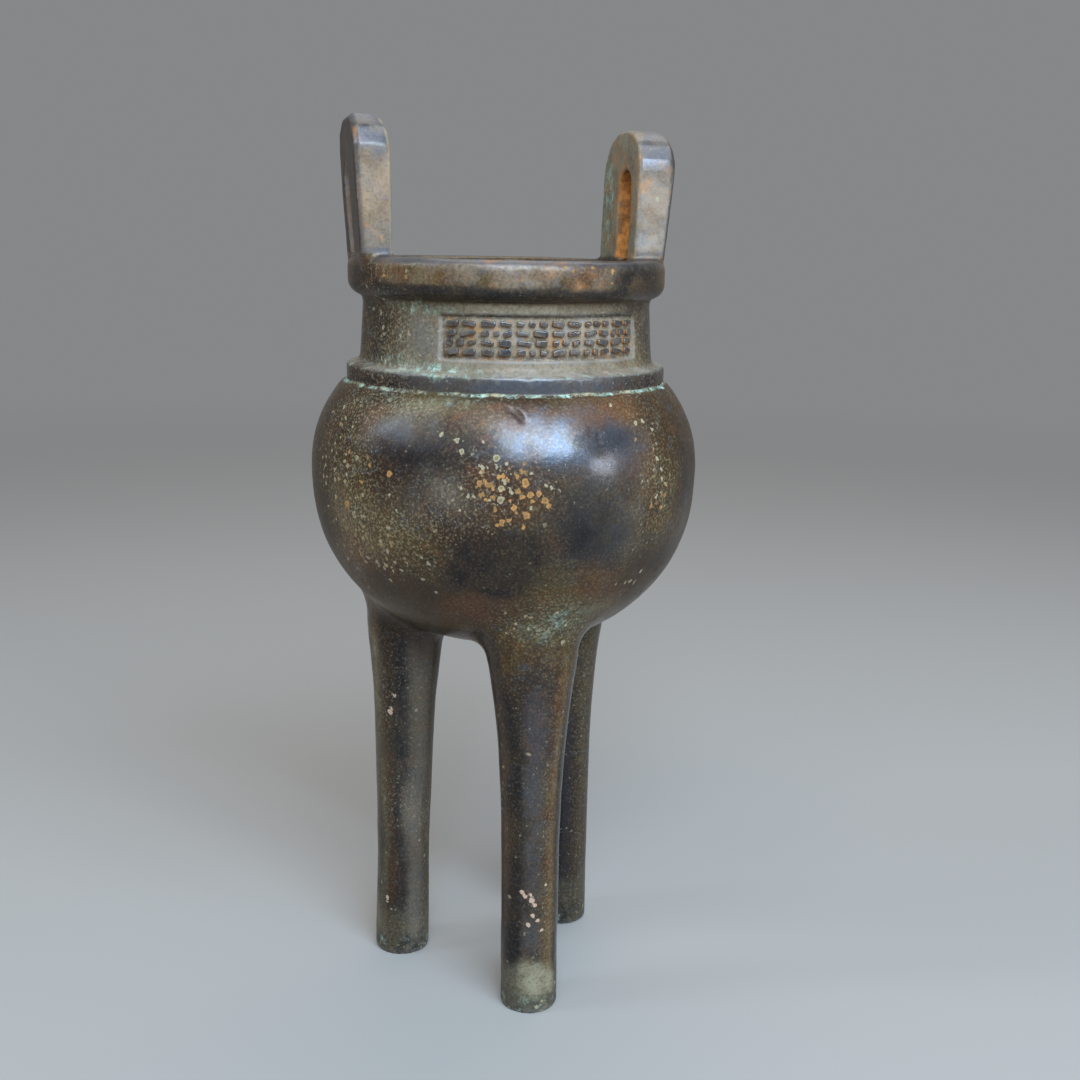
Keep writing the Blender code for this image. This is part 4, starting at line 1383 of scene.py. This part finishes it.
def rustAndVerdigris(tree, colour, height, masks, noise):
    # orange rust where it is painted, green bloom, and broken green lines in the creases
    flow, broken, fine = noise["flow"], noise["broken"], noise["fine"]
    rust = times(tree, masks["rust"], between(tree, flow, 0.34, 0.52, 0.35, 1.0))
    rustTone = blendColour(tree, between(tree, fine, 0.38, 0.62), patina["rust"], patina["oldRust"])
    colour = blendColour(tree, rust, colour, rustTone)
    patchy = timesPlus(tree, masks["green"], 0.08, broken)
    crust = times(tree, masks["green"], between(tree, patchy, 0.54, 0.65, 0.0, 0.80))
    wavy = timesPlus(tree, minus(tree, flow, 0.5), -0.0014, height)
    for middle, halfWidth, low, high, strength in layers["lines"]:
        gaps = between(tree, broken, low, high, 0.0, strength)
        crust = largest(tree, crust, times(tree, lineNode(tree, wavy, middle, halfWidth), gaps))
    mintTone = blendColour(tree, between(tree, flow, 0.40, 0.62), patina["mint"], patina["cream"])
    mintTone = blendColour(tree, between(tree, fine, 0.42, 0.62), mintTone, patina["sage"])
    return blendColour(tree, crust, colour, mintTone), largest(tree, crust, rust)


def speckLayers(tree, colour, place, masks, fine):
    # dust, flecks, ochre blobs, and the largest spots in their places
    shake = addNode(tree, "TexNoise", {"Vector": place, "Scale": 900.0, "Detail": 2.0}).outputs["Color"]
    shift = vectorNode(tree, "ADD", {0: shake, 1: (-0.5, -0.5, -0.5)})
    shift = vectorNode(tree, "SCALE", {0: shift, "Scale": 0.0015})
    bent = vectorNode(tree, "ADD", {0: place, 1: shift})
    dust, _ = speckNode(tree, bent, masks, "dust")
    fleck, pick = speckNode(tree, bent, masks, "fleck")
    blob, _ = speckNode(tree, bent, masks, "ochre")
    dropEdge, ringEdge, chipEdge = (spotField(tree, bent, key) for key in ("ochre", "ring", "chip"))
    drop = largest(tree, blob, between(tree, dropEdge, 0.00008, -0.00012))
    ring = between(tree, ringEdge, 0.00006, -0.00010)
    chip = between(tree, chipEdge, 0.00006, -0.00008)
    fleckTone = blendColour(tree, between(tree, pick, 0.0, 0.3), patina["cream"], patina["speck"])
    fleckTone = blendColour(tree, between(tree, pick, 0.22, 0.30), fleckTone, patina["sand"])
    ochreTone = blendColour(tree, between(tree, fine, 0.40, 0.56), patina["ochre"], patina["darkOchre"])
    core = between(tree, dropEdge, -0.00030, -0.00055, 0.0, 0.75)
    ochreTone = blendColour(tree, core, ochreTone, patina["ochreCore"])
    core = between(tree, ringEdge, -0.00024, -0.00042)
    ringTone = blendColour(tree, core, patina["cream"], patina["ringCore"])
    for share, strength, tone in (
        (dust, 0.42, patina["speck"]), (fleck, 0.75, fleckTone), (drop, 0.88, ochreTone),
        (ring, 0.75, ringTone), (chip, 0.85, patina["chip"]),
    ):
        colour = blendColour(tree, times(tree, share, strength), colour, tone)
    return colour, largest(tree, ring, drop, fleck, chip, times(tree, dust, 0.5))


def copperPatina():
    material, tree, shader = newMaterial("patinatedCopper")
    place = addNode(tree, "TexCoord").outputs["Object"]
    height = addNode(tree, "SeparateXYZ", {"Vector": place}).outputs["Z"]
    masks = {name: maskNode(tree, name) for name in (*patches, "pale", "rust", "foot", "worn")}
    noise = {name: noiseNode(tree, place, *values) for name, values in clouds.items()}
    colour = groundLayers(tree, masks, noise)
    colour, crust = rustAndVerdigris(tree, colour, height, masks, noise)
    colour, specks = speckLayers(tree, colour, place, masks, noise["fine"])
    tree.links.new(colour, shader.inputs["Base Color"])

    # dull where it is crusted, satin where it is bare
    crusted = largest(tree, specks, crust)
    dusty = largest(tree, *(times(tree, masks[name], share) for name, share in finish["dusty"]))
    rough = blendValue(tree, between(tree, noise["mottle"], 0.35, 0.65), *finish["bareRough"])
    rough = blendValue(tree, largest(tree, masks["slate"], masks["dark"]), rough, finish["stainRough"])
    rough = blendValue(tree, dusty, rough, finish["dustRough"])
    rough = blendValue(tree, crusted, rough, finish["crustRough"])
    tree.links.new(rough, shader.inputs["Roughness"])
    metal = blendValue(tree, masks["slate"], *finish["metal"])
    metal = blendValue(tree, largest(tree, crusted, dusty), metal, 0.0)
    tree.links.new(metal, shader.inputs["Metallic"])
    shader.inputs["Specular IOR Level"].default_value = finish["specular"]
    shader.inputs["Coat Weight"].default_value = finish["coat"]
    shader.inputs["Coat Roughness"].default_value = finish["coatRough"]
    tall = 0.0
    for name, share in finish["relief"]:
        tall = timesPlus(tree, noise[name], share, tall)
    bump = addNode(tree, "Bump", {"Height": tall, "Strength": 1.0, "Distance": 1.0})
    tree.links.new(bump.outputs["Normal"], shader.inputs["Normal"])
    return material


studio = {
    "lens": 45.0,
    "sensor": 36.0,
    "clipStart": 0.01,
    "cameraAt": (-0.09095, -0.3096, 0.18148),
    "heading": 17.96,  # degrees from +Y towards +X
    "pitch": 12.53,
    "roll": 1.07,
    "world": (0.240, 0.243, 0.250),
    "floor": (0.39, 0.362, 0.330),
    "floorSize": 6.0,
    "floorRough": 0.8,
    "floorShine": 0.2,
    "floorFade": (0.30, 1.3),  # distances between which the floor turns into the backdrop
    "aim": (0.0, 0.0, 0.12),
    # lights: direction in degrees from the front towards +X, elevation, distance,
    # width, height, tilt, watts, colour
    "key": (4, 38, 1.0, 0.82, 0.56, 0, 18.2, (0.55, 0.76, 1.0)),
    "fill": (-30, 56, 1.0, 0.55, 0.28, 0, 2.2, (1.0, 0.93, 0.85)),
    "left": (-93, 37, 0.9, 0.09, 0.42, -27, 1.6, (0.64, 0.82, 1.0)),
    "right": (42, 11, 1.0, 0.20, 0.20, 0, 1.4, (0.85, 0.92, 1.0)),
    "top": (150, 64, 1.1, 0.8, 0.8, 0, 3.2, (1.0, 0.94, 0.86)),
}


def placeCamera():
    camera = newObject("camera", bpy.data.cameras.new("camera"))
    camera.data.lens = studio["lens"]
    camera.data.sensor_width = studio["sensor"]
    camera.data.clip_start = studio["clipStart"]
    heading = Matrix.Rotation(-math.radians(studio["heading"]), 4, "Z")
    pitch = Matrix.Rotation(math.radians(90 - studio["pitch"]), 4, "X")
    roll = Matrix.Rotation(math.radians(studio["roll"]), 4, "Z")
    camera.matrix_world = Matrix.Translation(studio["cameraAt"]) @ heading @ pitch @ roll
    bpy.context.scene.camera = camera


def placeLight(name):
    direction, elevation, distance, width, height, tilt, watts, colour = studio[name]
    lamp = bpy.data.lights.new(name, "AREA")
    lamp.shape = "RECTANGLE"
    lamp.size = width
    lamp.size_y = height
    lamp.energy = watts
    lamp.color = colour
    turn, rise = math.radians(direction), math.radians(elevation)
    out = Vector((math.sin(turn) * math.cos(rise), -math.cos(turn) * math.cos(rise), math.sin(rise)))
    light = newObject(name, lamp)
    light.location = Vector(studio["aim"]) + out * distance
    aim = (-out).to_track_quat("-Z", "Y").to_matrix() @ Matrix.Rotation(math.radians(tilt), 3, "Z")
    light.rotation_euler = aim.to_euler()


def layFloor():
    bm = bmesh.new()
    bmesh.ops.create_grid(bm, x_segments=1, y_segments=1, size=studio["floorSize"])
    mesh = bpy.data.meshes.new("floor")
    bm.to_mesh(mesh)
    bm.free()
    floor = newObject("floor", mesh)
    material, tree, shader = newMaterial("paleFloor")
    shader.inputs["Base Color"].default_value = (*studio["floor"], 1.0)
    shader.inputs["Roughness"].default_value = studio["floorRough"]
    shader.inputs["Specular IOR Level"].default_value = studio["floorShine"]
    away = vectorNode(tree, "LENGTH", {0: addNode(tree, "TexCoord").outputs["Object"]}, "Value")
    glow = addNode(tree, "Emission", {"Color": (*studio["world"], 1.0)})
    fade = between(tree, away, *studio["floorFade"])
    mixed = addNode(tree, "MixShader", {0: fade, 1: shader.outputs[0], 2: glow.outputs[0]})
    tree.links.new(mixed.outputs[0], tree.nodes["Material Output"].inputs["Surface"])
    mesh.materials.append(material)


def lightRoom():
    world = bpy.data.worlds.new("studio")
    world.use_nodes = True
    background = world.node_tree.nodes["Background"]
    background.inputs["Color"].default_value = (*studio["world"], 1.0)
    background.inputs["Strength"].default_value = 1.0
    bpy.context.scene.world = world
    bpy.context.scene.view_settings.view_transform = "Standard"
    for name in ("key", "fill", "left", "right", "top"):
        placeLight(name)


placeCamera()
lightRoom()
layFloor()
print("studio ready")
copper = copperPatina()
body = makeVessel()
strokeRows = makeStrokes()
for piece in (body, strokeRows):
    piece.data.materials.clear()
    piece.data.materials.append(copper)
    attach(piece, "root")
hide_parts("incense_burner")
print("dressed")
